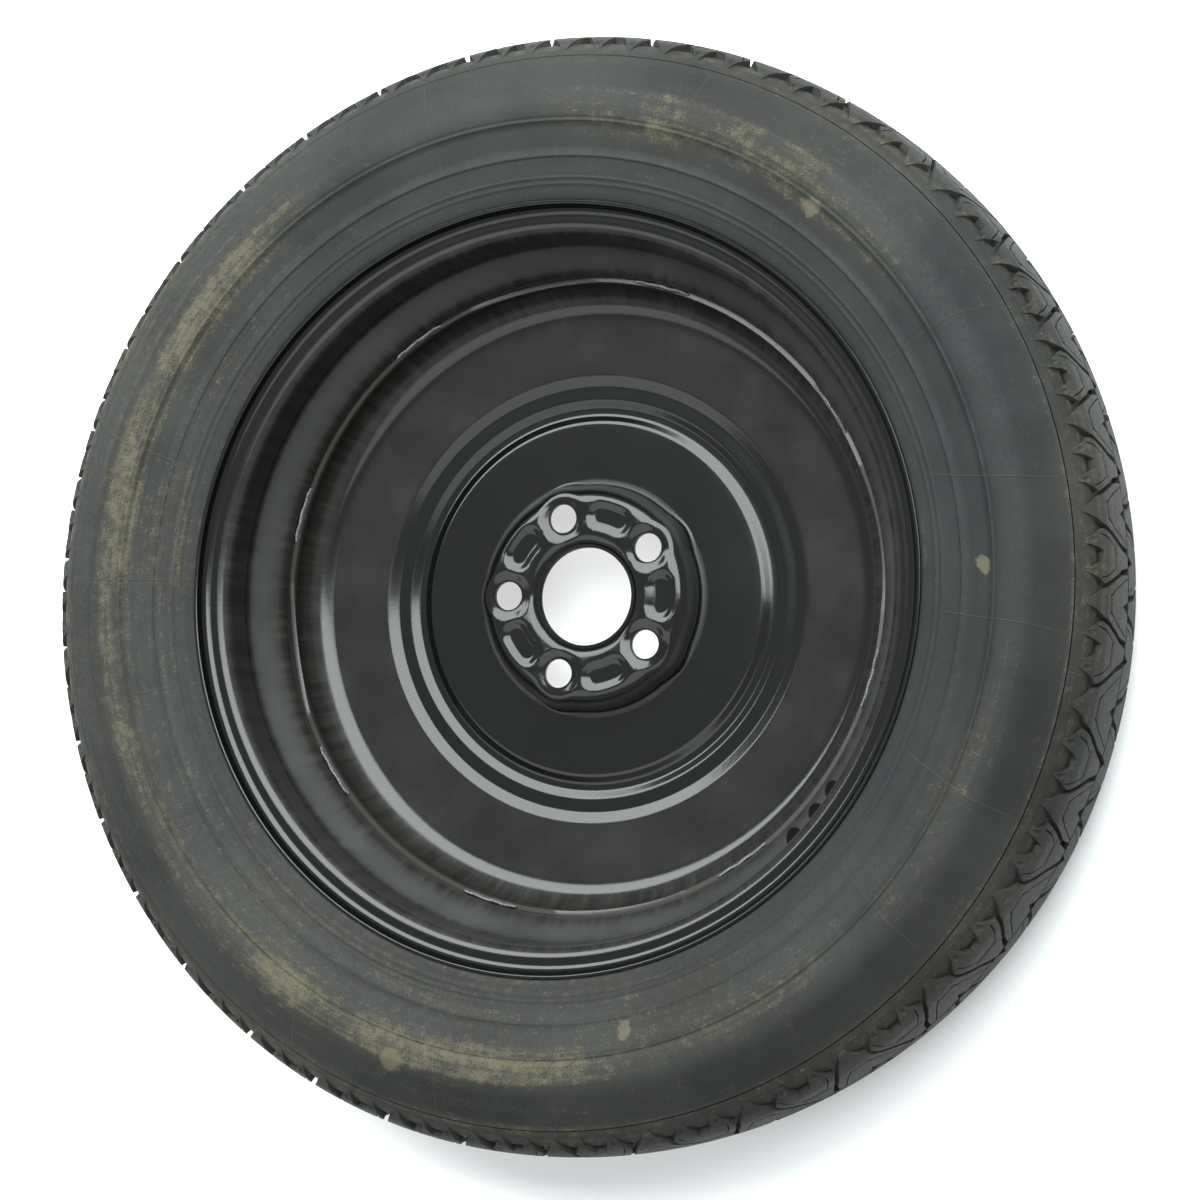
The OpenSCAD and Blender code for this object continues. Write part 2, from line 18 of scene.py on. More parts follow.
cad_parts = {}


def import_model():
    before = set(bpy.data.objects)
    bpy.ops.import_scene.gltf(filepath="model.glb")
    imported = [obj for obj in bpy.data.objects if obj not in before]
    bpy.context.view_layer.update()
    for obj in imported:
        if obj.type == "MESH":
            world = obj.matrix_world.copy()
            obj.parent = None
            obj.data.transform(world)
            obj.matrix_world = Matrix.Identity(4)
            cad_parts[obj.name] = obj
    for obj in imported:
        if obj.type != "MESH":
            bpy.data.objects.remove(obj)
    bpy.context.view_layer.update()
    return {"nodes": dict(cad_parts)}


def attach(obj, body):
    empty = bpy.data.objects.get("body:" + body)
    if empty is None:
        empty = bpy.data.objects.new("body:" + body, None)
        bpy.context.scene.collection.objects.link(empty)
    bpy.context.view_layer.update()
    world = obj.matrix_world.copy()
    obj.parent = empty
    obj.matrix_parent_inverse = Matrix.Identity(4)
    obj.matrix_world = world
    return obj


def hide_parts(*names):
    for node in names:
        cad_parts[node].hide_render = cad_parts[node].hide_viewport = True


log = logging.getLogger("spare_wheel")

MM = 0.001
NOISE_MIDDLE = (0.3, 0.7)
NOISE_ROUGHNESS = 0.6

Point = tuple[float, float]
Corner = tuple[float, float, float]
Surface = tuple[np.ndarray, list]
Socket = bpy.types.NodeSocket
Value = Socket | float | tuple


class Side(Enum):
    """The two sides of the wheel, as the sign of their height above its middle plane."""

    INBOARD = 1
    OUTBOARD = -1


# Profiles


def rounded_path(corners: list[Corner], steps: int = 8) -> np.ndarray:
    """Draws an open path with rounded corners.

    Args:
        corners: Radius, height and corner radius of each corner, in millimetres.
        steps: Short lines in each rounded corner.

    Returns:
        The path's points as rows of radius and height.
    """
    out = [np.array(corners[0][:2], float)]
    for before, here, after in zip(corners, corners[1:], corners[2:]):
        b = np.array(here[:2], float)
        if here[2] == 0:
            out.append(b)
            continue
        back = np.array(before[:2]) - b
        on = np.array(after[:2]) - b
        back /= np.linalg.norm(back)
        on /= np.linalg.norm(on)
        half = math.acos(float(np.clip(back @ on, -1, 1))) / 2
        middle = back + on
        centre = b + middle / np.linalg.norm(middle) * here[2] / math.sin(half)
        start = b + back * here[2] / math.tan(half) - centre
        end = b + on * here[2] / math.tan(half) - centre
        first = math.atan2(start[1], start[0])
        turn = (math.atan2(end[1], end[0]) - first + 3 * math.pi) % (2 * math.pi) - math.pi
        for k in range(steps + 1):
            a = first + turn * k / steps
            out.append(centre + here[2] * np.array([math.cos(a), math.sin(a)]))
    out.append(np.array(corners[-1][:2], float))
    return np.array(out)


def divided(path: np.ndarray, longest: float) -> np.ndarray:
    """Adds points to a path, so that no stretch is longer than a limit."""
    out = [path[0]]
    for b in path[1:]:
        a = out[-1]
        length = float(np.linalg.norm(b - a))
        if length > 1e-4:
            parts = math.ceil(length / longest)
            out.extend(a + (b - a) * k / parts for k in range(1, parts + 1))
    return np.array(out)


def path_normals(path: np.ndarray) -> np.ndarray:
    """Unit normals to the left of a path, at each of its points."""
    along = np.gradient(path, axis=0)
    normal = np.stack([-along[:, 1], along[:, 0]], 1)
    return normal / np.linalg.norm(normal, axis=1)[:, None]


def smooth_step(low: float, high: float, value: np.ndarray) -> np.ndarray:
    """Goes smoothly from 0 at low to 1 at high."""
    t = np.clip((value - low) / (high - low), 0, 1)
    return t * t * (3 - 2 * t)


# Meshes


def linked(name: str, data: bpy.types.ID) -> bpy.types.Object:
    """Puts an object that holds this data in the scene."""
    obj = bpy.data.objects.new(name, data)
    bpy.context.scene.collection.objects.link(obj)
    return obj


def mesh_object(name: str, points: np.ndarray, faces: list, sharp_degrees: float) -> bpy.types.Object:
    """Makes a smooth-shaded object from points in millimetres.

    Args:
        name: Name of the piece.
        points: Rows of x, y and z in millimetres.
        faces: Corner indices of each face.
        sharp_degrees: Edges that bend by more than this stay sharp.

    Returns:
        The linked object.
    """
    mesh = bpy.data.meshes.new(name)
    mesh.from_pydata((np.asarray(points, float) * MM).tolist(), [], faces)
    mesh.validate()
    mesh.update()
    mesh.shade_smooth()
    mesh.set_sharp_from_angle(angle=math.radians(sharp_degrees))
    return linked(name, mesh)


def polar(radius: np.ndarray | float, angle: np.ndarray) -> np.ndarray:
    """Flat points at radii and angles from the wheel's axis."""
    return np.stack([radius * np.cos(angle), radius * np.sin(angle)], -1)


def turned(path: np.ndarray, count: int, closed: bool, edge: Callable | None = None) -> Surface:
    """Turns a path about the wheel's axis.

    Args:
        path: Rows of radius and height.
        count: Number of steps round the axis.
        closed: Whether the path's last point joins its first.
        edge: Optional function of (angles, path) that gives a height for each angle and point.

    Returns:
        Points and faces of the surface.
    """
    angle = np.arange(count) * 2 * math.pi / count
    height = np.broadcast_to(path[:, 1], (count, len(path))) if edge is None else edge(angle, path)
    points = np.dstack([polar(path[:, 0], angle[:, None]), height]).reshape(-1, 3)
    rows = len(path)
    i, j = np.meshgrid(np.arange(count), np.arange(rows if closed else rows - 1), indexing="ij")
    n, m = (i + 1) % count, (j + 1) % rows
    faces = np.stack([i * rows + j, n * rows + j, n * rows + m, i * rows + m], -1).reshape(-1, 4)
    return points, faces.tolist()


def joined(parts: list[Surface]) -> Surface:
    """Puts several sets of points and faces into one."""
    points, faces, first = [], [], 0
    for part_points, part_faces in parts:
        points.append(part_points)
        faces.extend([[k + first for k in face] for face in part_faces])
        first += len(part_points)
    return np.concatenate(points), faces


def ring_of(centre: Point, radius: float, count: int) -> np.ndarray:
    """Points of a circle on a plane."""
    return np.array(centre) + polar(radius, np.arange(count) * 2 * math.pi / count)


# Materials


class Nodes:
    """Short calls that build one material's node tree."""

    def __init__(self, name: str) -> None:
        """Starts a material with a Principled shader.

        Args:
            name: Name of the material.
        """
        self.material = bpy.data.materials.new(name)
        self.material.use_nodes = True
        self.tree = self.material.node_tree
        self.shader = self.tree.nodes["Principled BSDF"]
        self.place = self.tree.nodes.new("ShaderNodeTexCoord").outputs["Object"]
        split = self.tree.nodes.new("ShaderNodeSeparateXYZ")
        self.put(split.inputs[0], self.place)
        self.x, self.y, self.z = split.outputs
        self.radius = self.length(self.x, self.y)
        self.angle = self.math("ARCTAN2", self.y, self.x)

    def put(self, socket: Socket, value: Value) -> None:
        """Links a node's output to a socket, or sets the socket's own value."""
        if isinstance(value, bpy.types.NodeSocket):
            self.tree.links.new(value, socket)
        elif isinstance(value, tuple) and len(value) == 3 and len(socket.default_value) == 4:
            socket.default_value = (*value, 1)
        else:
            socket.default_value = value

    def math(self, operation: str, a: Value, b: Value = 0.0, clamp: bool = False) -> Socket:
        """One Math node's output."""
        node = self.tree.nodes.new("ShaderNodeMath")
        node.operation = operation
        node.use_clamp = clamp
        self.put(node.inputs[0], a)
        self.put(node.inputs[1], b)
        return node.outputs[0]

    def chained(self, operation: str, values: tuple, clamp: bool = False) -> Socket:
        """Joins values with one operation, from left to right."""
        return reduce(lambda a, b: self.math(operation, a, b, clamp), values)

    def plus(self, *values: Value, clamp: bool = False) -> Socket:
        """Sum of values."""
        return self.chained("ADD", values, clamp)

    def times(self, *values: Value, clamp: bool = False) -> Socket:
        """Product of values."""
        return self.chained("MULTIPLY", values, clamp)

    def most(self, *values: Value) -> Socket:
        """Largest of values."""
        return self.chained("MAXIMUM", values)

    def minus(self, a: Value, b: Value) -> Socket:
        """Difference of two values."""
        return self.math("SUBTRACT", a, b)

    def length(self, x: Value, y: Value) -> Socket:
        """Length of a flat vector."""
        return self.math("SQRT", self.plus(self.times(x, x), self.times(y, y)))

    def towards(self, degrees: float) -> Socket:
        """Cosine of the angle from a direction: 1 on it and -1 across the wheel."""
        return self.math("COSINE", self.minus(self.angle, math.radians(degrees)))

    def ramp(self, value: Value, low: float, high: float, first: float = 0.0, last: float = 1.0,
             kind: str = "SMOOTHSTEP") -> Socket:
        """Maps a value from one range to another."""
        node = self.tree.nodes.new("ShaderNodeMapRange")
        node.interpolation_type = kind
        for socket, v in zip(node.inputs, (value, low, high, first, last)):
            self.put(socket, v)
        return node.outputs[0]

    def band(self, value: Value, low: float, high: float, soft: float) -> Socket:
        """1 between low and high, falling to 0 over a soft edge."""
        rise = self.ramp(value, low - soft, low + soft)
        fall = self.ramp(value, high - soft, high + soft, 1.0, 0.0)
        return self.times(rise, fall)

    def spread(self, noise: Socket, first: float, last: float) -> Socket:
        """Spreads the middle of a noise over a range."""
        return self.ramp(noise, *NOISE_MIDDLE, first, last)

    def vector(self, x: Value, y: Value, z: Value) -> Socket:
        """Joins three values into a vector."""
        node = self.tree.nodes.new("ShaderNodeCombineXYZ")
        for socket, v in zip(node.inputs, (x, y, z)):
            self.put(socket, v)
        return node.outputs[0]

    def noise(self, scale: float, detail: float, place: Socket | None = None) -> Socket:
        """Value of a noise texture."""
        node = self.tree.nodes.new("ShaderNodeTexNoise")
        self.put(node.inputs["Vector"], self.place if place is None else place)
        node.inputs["Scale"].default_value = scale
        node.inputs["Detail"].default_value = detail
        node.inputs["Roughness"].default_value = NOISE_ROUGHNESS
        return node.outputs["Fac"]

    def mix(self, share: Value, a: Value, b: Value) -> Socket:
        """Mixes two colours."""
        node = self.tree.nodes.new("ShaderNodeMix")
        node.data_type = "RGBA"
        self.put(node.inputs[0], share)
        self.put(node.inputs[6], a)
        self.put(node.inputs[7], b)
        return node.outputs[2]

    def bump(self, height: Socket, distance: float, strength: float) -> Socket:
        """Normal bent by a height."""
        node = self.tree.nodes.new("ShaderNodeBump")
        node.inputs["Strength"].default_value = strength
        node.inputs["Distance"].default_value = distance
        self.put(node.inputs["Height"], height)
        return node.outputs[0]

    def set(self, **values: Value) -> bpy.types.Material:
        """Sets the shader's sockets, with underscores for spaces, and returns the material."""
        for key, value in values.items():
            self.put(self.shader.inputs[key.replace("_", " ")], value)
        return self.material


@dataclass(frozen=True)
class TyreRubber:
    """Slate black rubber with tan road dust, fine mould lines, circular scuffs and a painted light patch on
    the upper right.
    """

    colour: tuple = (0.0122, 0.0137, 0.0138)
    dark: tuple = (0.0060, 0.0068, 0.0070)
    dust: tuple = (0.066, 0.059, 0.038)
    film: tuple = (0.0215, 0.0205, 0.0150)
    bead_ring: tuple = (0.250, 0.278)
    dusty_ring: tuple = (0.289, 0.316)
    dustiest_degrees: float = 215.0
    lit_patch_ring: tuple = (0.288, 0.322)
    lit_patch_degrees: float = 66.0
    shoulder_ring: tuple = (0.318, 0.340)
    edge_ring: tuple = (0.333, 0.343)
    lined_ring: tuple = (0.266, 0.340)
    inboard_height: tuple = (0.10, 0.12)
    mould_lines: int = 22
    splashes: tuple = (
        (0.1778, 0.2329, 0.0055), (0.2897, 0.0109, 0.0045),
        (0.0696, -0.2762, 0.0060), (-0.0860, -0.3027, 0.0075),
    )
    splash_cover: float = 0.62
    splash_raggedness: float = 0.021

    def splashed(self, n: Nodes) -> Socket:
        """Share of the surface under dried splashes, with ragged edges."""
        total = 0.0
        ragged = n.times(n.minus(n.noise(130.0, 5.0), 0.5), self.splash_raggedness)
        for x, y, size in self.splashes:
            off = n.length(n.minus(n.x, x), n.minus(n.y, y))
            here = n.ramp(n.plus(off, ragged), size * 0.6, size * 1.2, self.splash_cover, 0.0)
            total = n.most(here, total)
        return n.times(total, n.ramp(n.z, *self.inboard_height))

    def coverage(self, n: Nodes) -> Socket:
        """Share of the surface that dust covers, most of it on one side of the wheel, with a lighter patch on
        the upper right that is painted light where the key light falls.
        """
        around = [n.times(n.math(part, n.angle), 0.30) for part in ("COSINE", "SINE")]
        arc = n.vector(*around, n.times(n.radius, 1.6))
        patches = n.ramp(n.noise(9.0, 5.0, arc), 0.36, 0.68, -0.28, 0.42)
        side = n.ramp(n.towards(self.dustiest_degrees), -0.55, 0.9, 0.16, 0.72)
        inner = n.times(n.plus(side, patches), n.band(n.radius, *self.dusty_ring, 0.011))
        outer = n.times(n.ramp(n.radius, *self.shoulder_ring, 0.40, 0.20), side)
        outer = n.plus(outer, n.ramp(n.radius, *self.edge_ring, 0.0, 0.30), n.times(patches, 0.25))
        # Painted light: a lighter dust-coloured patch on the sidewall that faces the key light.
        lit_patch = n.times(
            n.ramp(n.towards(self.lit_patch_degrees), 0.88, 0.985, 0.0, 0.62),
            n.band(n.radius, *self.lit_patch_ring, 0.010),
            n.ramp(n.noise(30.0, 4.0), 0.35, 0.65, 0.4, 1.25),
        )
        return n.most(inner, lit_patch, outer)

    def lines(self, n: Nodes) -> Socket:
        """Thin radial lines that the mould leaves on the sidewall."""
        turn = n.times(n.angle, self.mould_lines / (2 * math.pi))
        place = n.math("FRACT", n.plus(turn, n.times(n.noise(3.0, 1.0), 1.5)))
        off = n.math("ABSOLUTE", n.minus(place, 0.5))
        return n.times(n.ramp(off, 0.003, 0.009, 1.0, 0.0), n.band(n.radius, *self.lined_ring, 0.004))

    def build(self) -> bpy.types.Material:
        """Makes the material."""
        n = Nodes("tyre_rubber")
        fine = n.noise(420.0, 6.0)
        circles = n.noise(260.0, 3.0, n.vector(n.radius, n.times(n.z, 0.6), n.times(n.angle, 0.004)))
        cover, lines = self.coverage(n), self.lines(n)
        grain = n.plus(
            n.times(n.noise(950.0, 3.0), 0.55), n.times(n.noise(150.0, 4.0), 0.45),
            n.times(n.minus(circles, 0.5), 0.35), n.times(cover, 0.26),
        )
        speckle = n.ramp(grain, 0.60, 0.84)
        colour = n.mix(n.ramp(n.noise(9.0, 5.0), 0.34, 0.66), self.dark, self.colour)
        for share, coat in (
            (n.ramp(n.noise(5.0, 4.0), 0.42, 0.66, 0.0, 0.22), self.film),
            (n.ramp(n.radius, *self.bead_ring, 0.75, 0.0), self.dark),
            (n.times(cover, n.spread(circles, 0.4, 1.0), clamp=True), self.film),
            (n.times(speckle, 0.8), self.dust),
            (self.splashed(n), self.dust),
            (n.times(lines, 0.35), self.film),
        ):
            colour = n.mix(share, colour, coat)
        rough = n.plus(n.spread(fine, 0.62, 0.76), n.times(speckle, 0.2), clamp=True)
        height = n.plus(n.times(fine, 0.25), n.times(speckle, 0.35), n.times(circles, 0.5), lines)
        return n.set(Base_Color=colour, Roughness=rough, Specular_IOR_Level=0.15,
                     Normal=n.bump(height, 0.0003, 0.6))


@dataclass(frozen=True)
class GlossPaint:
    """Gloss black paint over pressed steel, with a film of brown dust where it settles, and lighter grey
    painted reflections on the well's slope and the hub pad's wall.
    """

    name: str
    colour: tuple = (0.0015, 0.0016, 0.0016)
    dust: tuple = (0.031, 0.0295, 0.0255)
    dust_and_sheen_grey: tuple = (0.039, 0.0405, 0.0395)
    dusty_radius: tuple = (0.197, 0.2325)
    slope_radius: tuple = (0.2155, 0.2255)
    seat_edge: tuple = (0.2245, 0.2275)
    hazy_radius: tuple = (0.149, 0.188)
    matt_ring: tuple = (0.0720, 0.0790)
    pad_wall: tuple = (0.0640, 0.0800)
    pad_wall_height: tuple = (0.0475, 0.0595)
    skirt_edge: tuple = (0.2056, 0.2102)
    skirt_edge_height: tuple = (0.0708, 0.0772)
    film: float = 0.62
    specular: float = 0.25
    stamp_degrees: tuple = ()
    stamp_radius: float = 0.221
    stamp_height: float = 0.0955
    stamp_half: tuple = (0.0062, 0.0085)

    def settled(self, n: Nodes, clouds: Socket, slope: Socket) -> Socket:
        """Share of the paint under the dust in the barrel and along the skirt's edge; on the well's slope the
        coat covers nearly all, partly dust and partly a painted highlight.
        """
        place = n.vector(n.times(n.angle, 0.21), n.times(n.radius, 0.10), n.times(n.z, 0.08))
        streaky = n.ramp(n.noise(150.0, 4.0, place), 0.35, 0.7, 0.55, 1.0)
        film = n.times(
            n.plus(streaky, n.times(slope, n.minus(0.92, streaky))),
            n.ramp(clouds, 0.32, 0.68, 0.8, 1.0),
            n.band(n.radius, *self.dusty_radius, 0.004),
            n.ramp(n.radius, *self.seat_edge, 1.0, 0.85),
        )
        edge = n.band(n.radius, *self.skirt_edge, 0.0004)
        return n.most(film, n.times(edge, n.band(n.z, *self.skirt_edge_height, 0.0004)))

    def unstamped(self, n: Nodes, degrees: float) -> Socket:
        """Falls from 1 to nearly 0 over one oval stamp."""
        around = n.times(n.minus(n.angle, math.radians(degrees)), self.stamp_radius / self.stamp_half[0])
        across = n.times(n.minus(n.z, self.stamp_height), 1 / self.stamp_half[1])
        return n.ramp(n.plus(n.times(around, around), n.times(across, across)), 0.75, 1.1, 0.12, 1.0)

    def build(self) -> bpy.types.Material:
        """Makes the material."""
        n = Nodes(self.name)
        clouds = n.noise(22.0, 5.0)
        # The well's slope gets a lighter bluish grey coat: partly dust, partly a painted highlight for the
        # bright band it shows.
        slope = n.band(n.radius, *self.slope_radius, 0.004)
        haze = n.times(n.band(n.radius, *self.hazy_radius, 0.003), n.spread(clouds, 0.16, 0.30))
        # Painted reflection: the pad's wall gets a lighter coat, so that it shows the floor's tone instead of
        # a black reflection.
        pad_wall_sheen = n.times(
            n.band(n.radius, *self.pad_wall, 0.0015), n.spread(clouds, 0.6, 0.8),
            n.band(n.z, *self.pad_wall_height, 0.0015),
        )
        film = n.most(self.settled(n, clouds, slope), n.plus(haze, pad_wall_sheen))
        spots = n.times(n.ramp(n.noise(420.0, 2.0), 0.66, 0.74), 0.5, n.ramp(clouds, 0.5, 0.65))
        share = n.plus(n.times(film, self.film), n.times(spots, 0.25), clamp=True)
        for degrees in self.stamp_degrees:
            share = n.times(share, self.unstamped(n, degrees))
        rough = n.plus(n.times(share, 0.45), n.times(clouds, 0.08), 0.09)
        rough = n.plus(rough, n.times(n.band(n.radius, *self.matt_ring, 0.002), 0.35), clamp=True)
        # The painted reflections on the well's slope and the pad's wall take the lighter grey; the rest of
        # the film is brown dust.
        coat = n.mix(n.most(slope, pad_wall_sheen), self.dust, self.dust_and_sheen_grey)
        return n.set(Base_Color=n.mix(share, self.colour, coat), Roughness=rough,
                     Specular_IOR_Level=self.specular, Normal=n.bump(n.noise(330.0, 2.0), 0.00006, 0.35))


@dataclass(frozen=True)
class WeldSteel:
    """Rippled weld bead under thin paint."""

    colour: tuple = (0.15, 0.158, 0.16)

    def build(self) -> bpy.types.Material:
        """Makes the material."""
        n = Nodes("weld_steel")
        ripple = n.noise(330.0, 3.0)
        colour = n.mix(ripple, (0.03, 0.03, 0.03), self.colour)
        return n.set(Base_Color=colour, Roughness=n.spread(ripple, 0.16, 0.42), Metallic=0.5,
                     Normal=n.bump(ripple, 0.0006, 0.5))


class Polish(Enum):
    """How fine a turned or drawn metal's marks are, as noise scale."""

    TURNED = 900.0
    DRAWN = 1800.0


@dataclass(frozen=True)
class TurnedMetal:
    """Brass or steel with fine turning or drawing marks."""

    name: str
    colour: tuple
    polish: Polish = Polish.TURNED

    def build(self) -> bpy.types.Material:
        """Makes the material."""
        n = Nodes(self.name)
        marks = n.noise(self.polish.value, 3.0)
        tarnish = n.noise(300.0, 4.0)
        dark = tuple(c * 0.6 for c in self.colour)
        return n.set(Base_Color=n.mix(n.ramp(tarnish, 0.35, 0.7), self.colour, dark), Metallic=1.0,
                     Roughness=n.spread(marks, 0.2, 0.38), Normal=n.bump(marks, 0.00004, 0.4))


@dataclass(frozen=True)
class Moulded:
    """Matt moulded rubber or plastic."""

    name: str
    colour: tuple
    roughness: float = 0.6

    def build(self) -> bpy.types.Material:
        """Makes the material."""
        n = Nodes(self.name)
        grain = n.noise(1400.0, 3.0)
        cloud = n.noise(180.0, 4.0)
        light = tuple(min(1.0, c * 1.7 + 0.01) for c in self.colour)
        return n.set(Base_Color=n.mix(n.ramp(cloud, 0.4, 0.75), self.colour, light),
                     Roughness=n.spread(grain, self.roughness - 0.1, self.roughness + 0.1),
                     Normal=n.bump(grain, 0.00005, 0.5))


# Sub-assemblies


@dataclass
class WheelSizes:
    """Sizes that the rim, the disc and the tyre share, in millimetres above the hub face."""

    seat_r: float = 231.0
    flange_height: float = 17.3
    flange_roll: float = 10.5
    flange_radius: float = 9.5
    rim_wall: float = 2.5
    rim_half: float = 50.8
    rim_offset: float = 14.0
    well_depth: float = 18.5
    well_width: float = 21.6
    seat_width: float = 21.0
    hump_height: float = 1.1
    hump_width: float = 8.0
    hub_height: float = 63.5
    side_half: float = 77.5
    tyre_height: float = 132.0
    tread_half: float = 44.0
    crown_drop: float = 3.25
    bead_clearance: float = 0.25

    @property
    def flange_r(self) -> float:
        """Radius of the rolled edges."""
        return self.seat_r + self.flange_height

    @property
    def tyre_r(self) -> float:
        """Radius of the tyre over the middle of its tread."""
        return self.seat_r + self.tyre_height

    @property
    def seat_end_r(self) -> float:
        """Radius of a bead seat at its hump."""
        return self.seat_r - self.seat_width * math.tan(math.radians(5))

    @property
    def hump_r(self) -> float:
        """Radius over a hump."""
        return self.seat_end_r + self.hump_height

    @property
    def well_r(self) -> float:
        """Radius of the well, on the tyre's side."""
        return self.seat_r - self.well_depth

    @property
    def well_out_z(self) -> float:
        """Height of the well's outboard corner above the hub face."""
        slope = (self.hump_r - self.well_r) * math.tan(math.radians(25))
        return self.rim_offset - self.rim_half + self.seat_width + self.hump_width / 2 + slope


@dataclass
class Rim:
    """The rolled steel rim: flanges, bead seats, humps and drop-centre well."""

    sizes: WheelSizes
    steps_round: int = 384
    longest_step: float = 3.0

    def path(self) -> np.ndarray:
        """Path of the rim's face on the tyre's side, from the inboard edge to the outboard edge."""
        s = self.sizes
        up, down = s.rim_offset + s.rim_half, s.rim_offset - s.rim_half
        corners = [
            (s.flange_r, up + s.flange_roll, 0),
            (s.flange_r, up, s.flange_radius),
            (s.seat_r, up, 6.5),
            (s.seat_end_r, up - s.seat_width, 5),
            (s.hump_r, up - s.seat_width - s.hump_width / 2, 5),
            (s.seat_end_r, up - s.seat_width - s.hump_width, 10),
            (s.well_r, s.well_out_z + s.well_width, 10),
            (s.well_r, s.well_out_z, 3.5),
            (s.hump_r, down + s.seat_width + s.hump_width / 2, 3),
            (s.seat_end_r, down + s.seat_width, 4),
            (s.seat_r, down, 6.5),
            (s.flange_r, down, s.flange_radius),
            (s.flange_r, down - s.flange_roll, 0),
        ]
        return divided(rounded_path(corners), self.longest_step)

    def build(self, paint: bpy.types.Material) -> bpy.types.Object:
        """Makes the rim.

        Args:
            paint: The rim's finish.

        Returns:
            The rim.
        """
        outer = self.path()
        inner = outer + self.sizes.rim_wall * path_normals(outer) * self.inward(outer)
        section = np.concatenate([self.eased_end(outer, inner), self.eased_end(inner[::-1], outer[::-1])])
        section[:, 1] += self.sizes.hub_height
        rim = mesh_object("rim_skin", *turned(section, self.steps_round, True), sharp_degrees=60)
        rim.data.materials.append(paint)
        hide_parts("rim")
        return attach(rim, "wheel")

    @staticmethod
    def inward(path: np.ndarray) -> float:
        """Sign that turns the path's normals towards the wheel's axis or past the flanges."""
        normal = path_normals(path)
        middle = len(path) // 2
        return -1.0 if normal[middle, 0] > 0 else 1.0

    def eased_end(self, face: np.ndarray, other: np.ndarray) -> np.ndarray:
        """Rounds the end of one face towards the other, as a rolled strip's edge is."""
        tip = (face[-1] + other[-1]) / 2
        along = face[-1] - face[-2]
        along /= np.linalg.norm(along)
        half = self.sizes.rim_wall / 2
        cut = face.copy()
        cut[-1] = face[-1] - along * half * 0.9
        across = (face[-1] - other[-1]) / 2
        arc = [tip - along * half * 0.9 + across * math.cos(a) + along * half * 0.9 * math.sin(a)
               for a in np.linspace(0.3, math.pi / 2, 4)]
        return np.concatenate([cut, np.array(arc)])


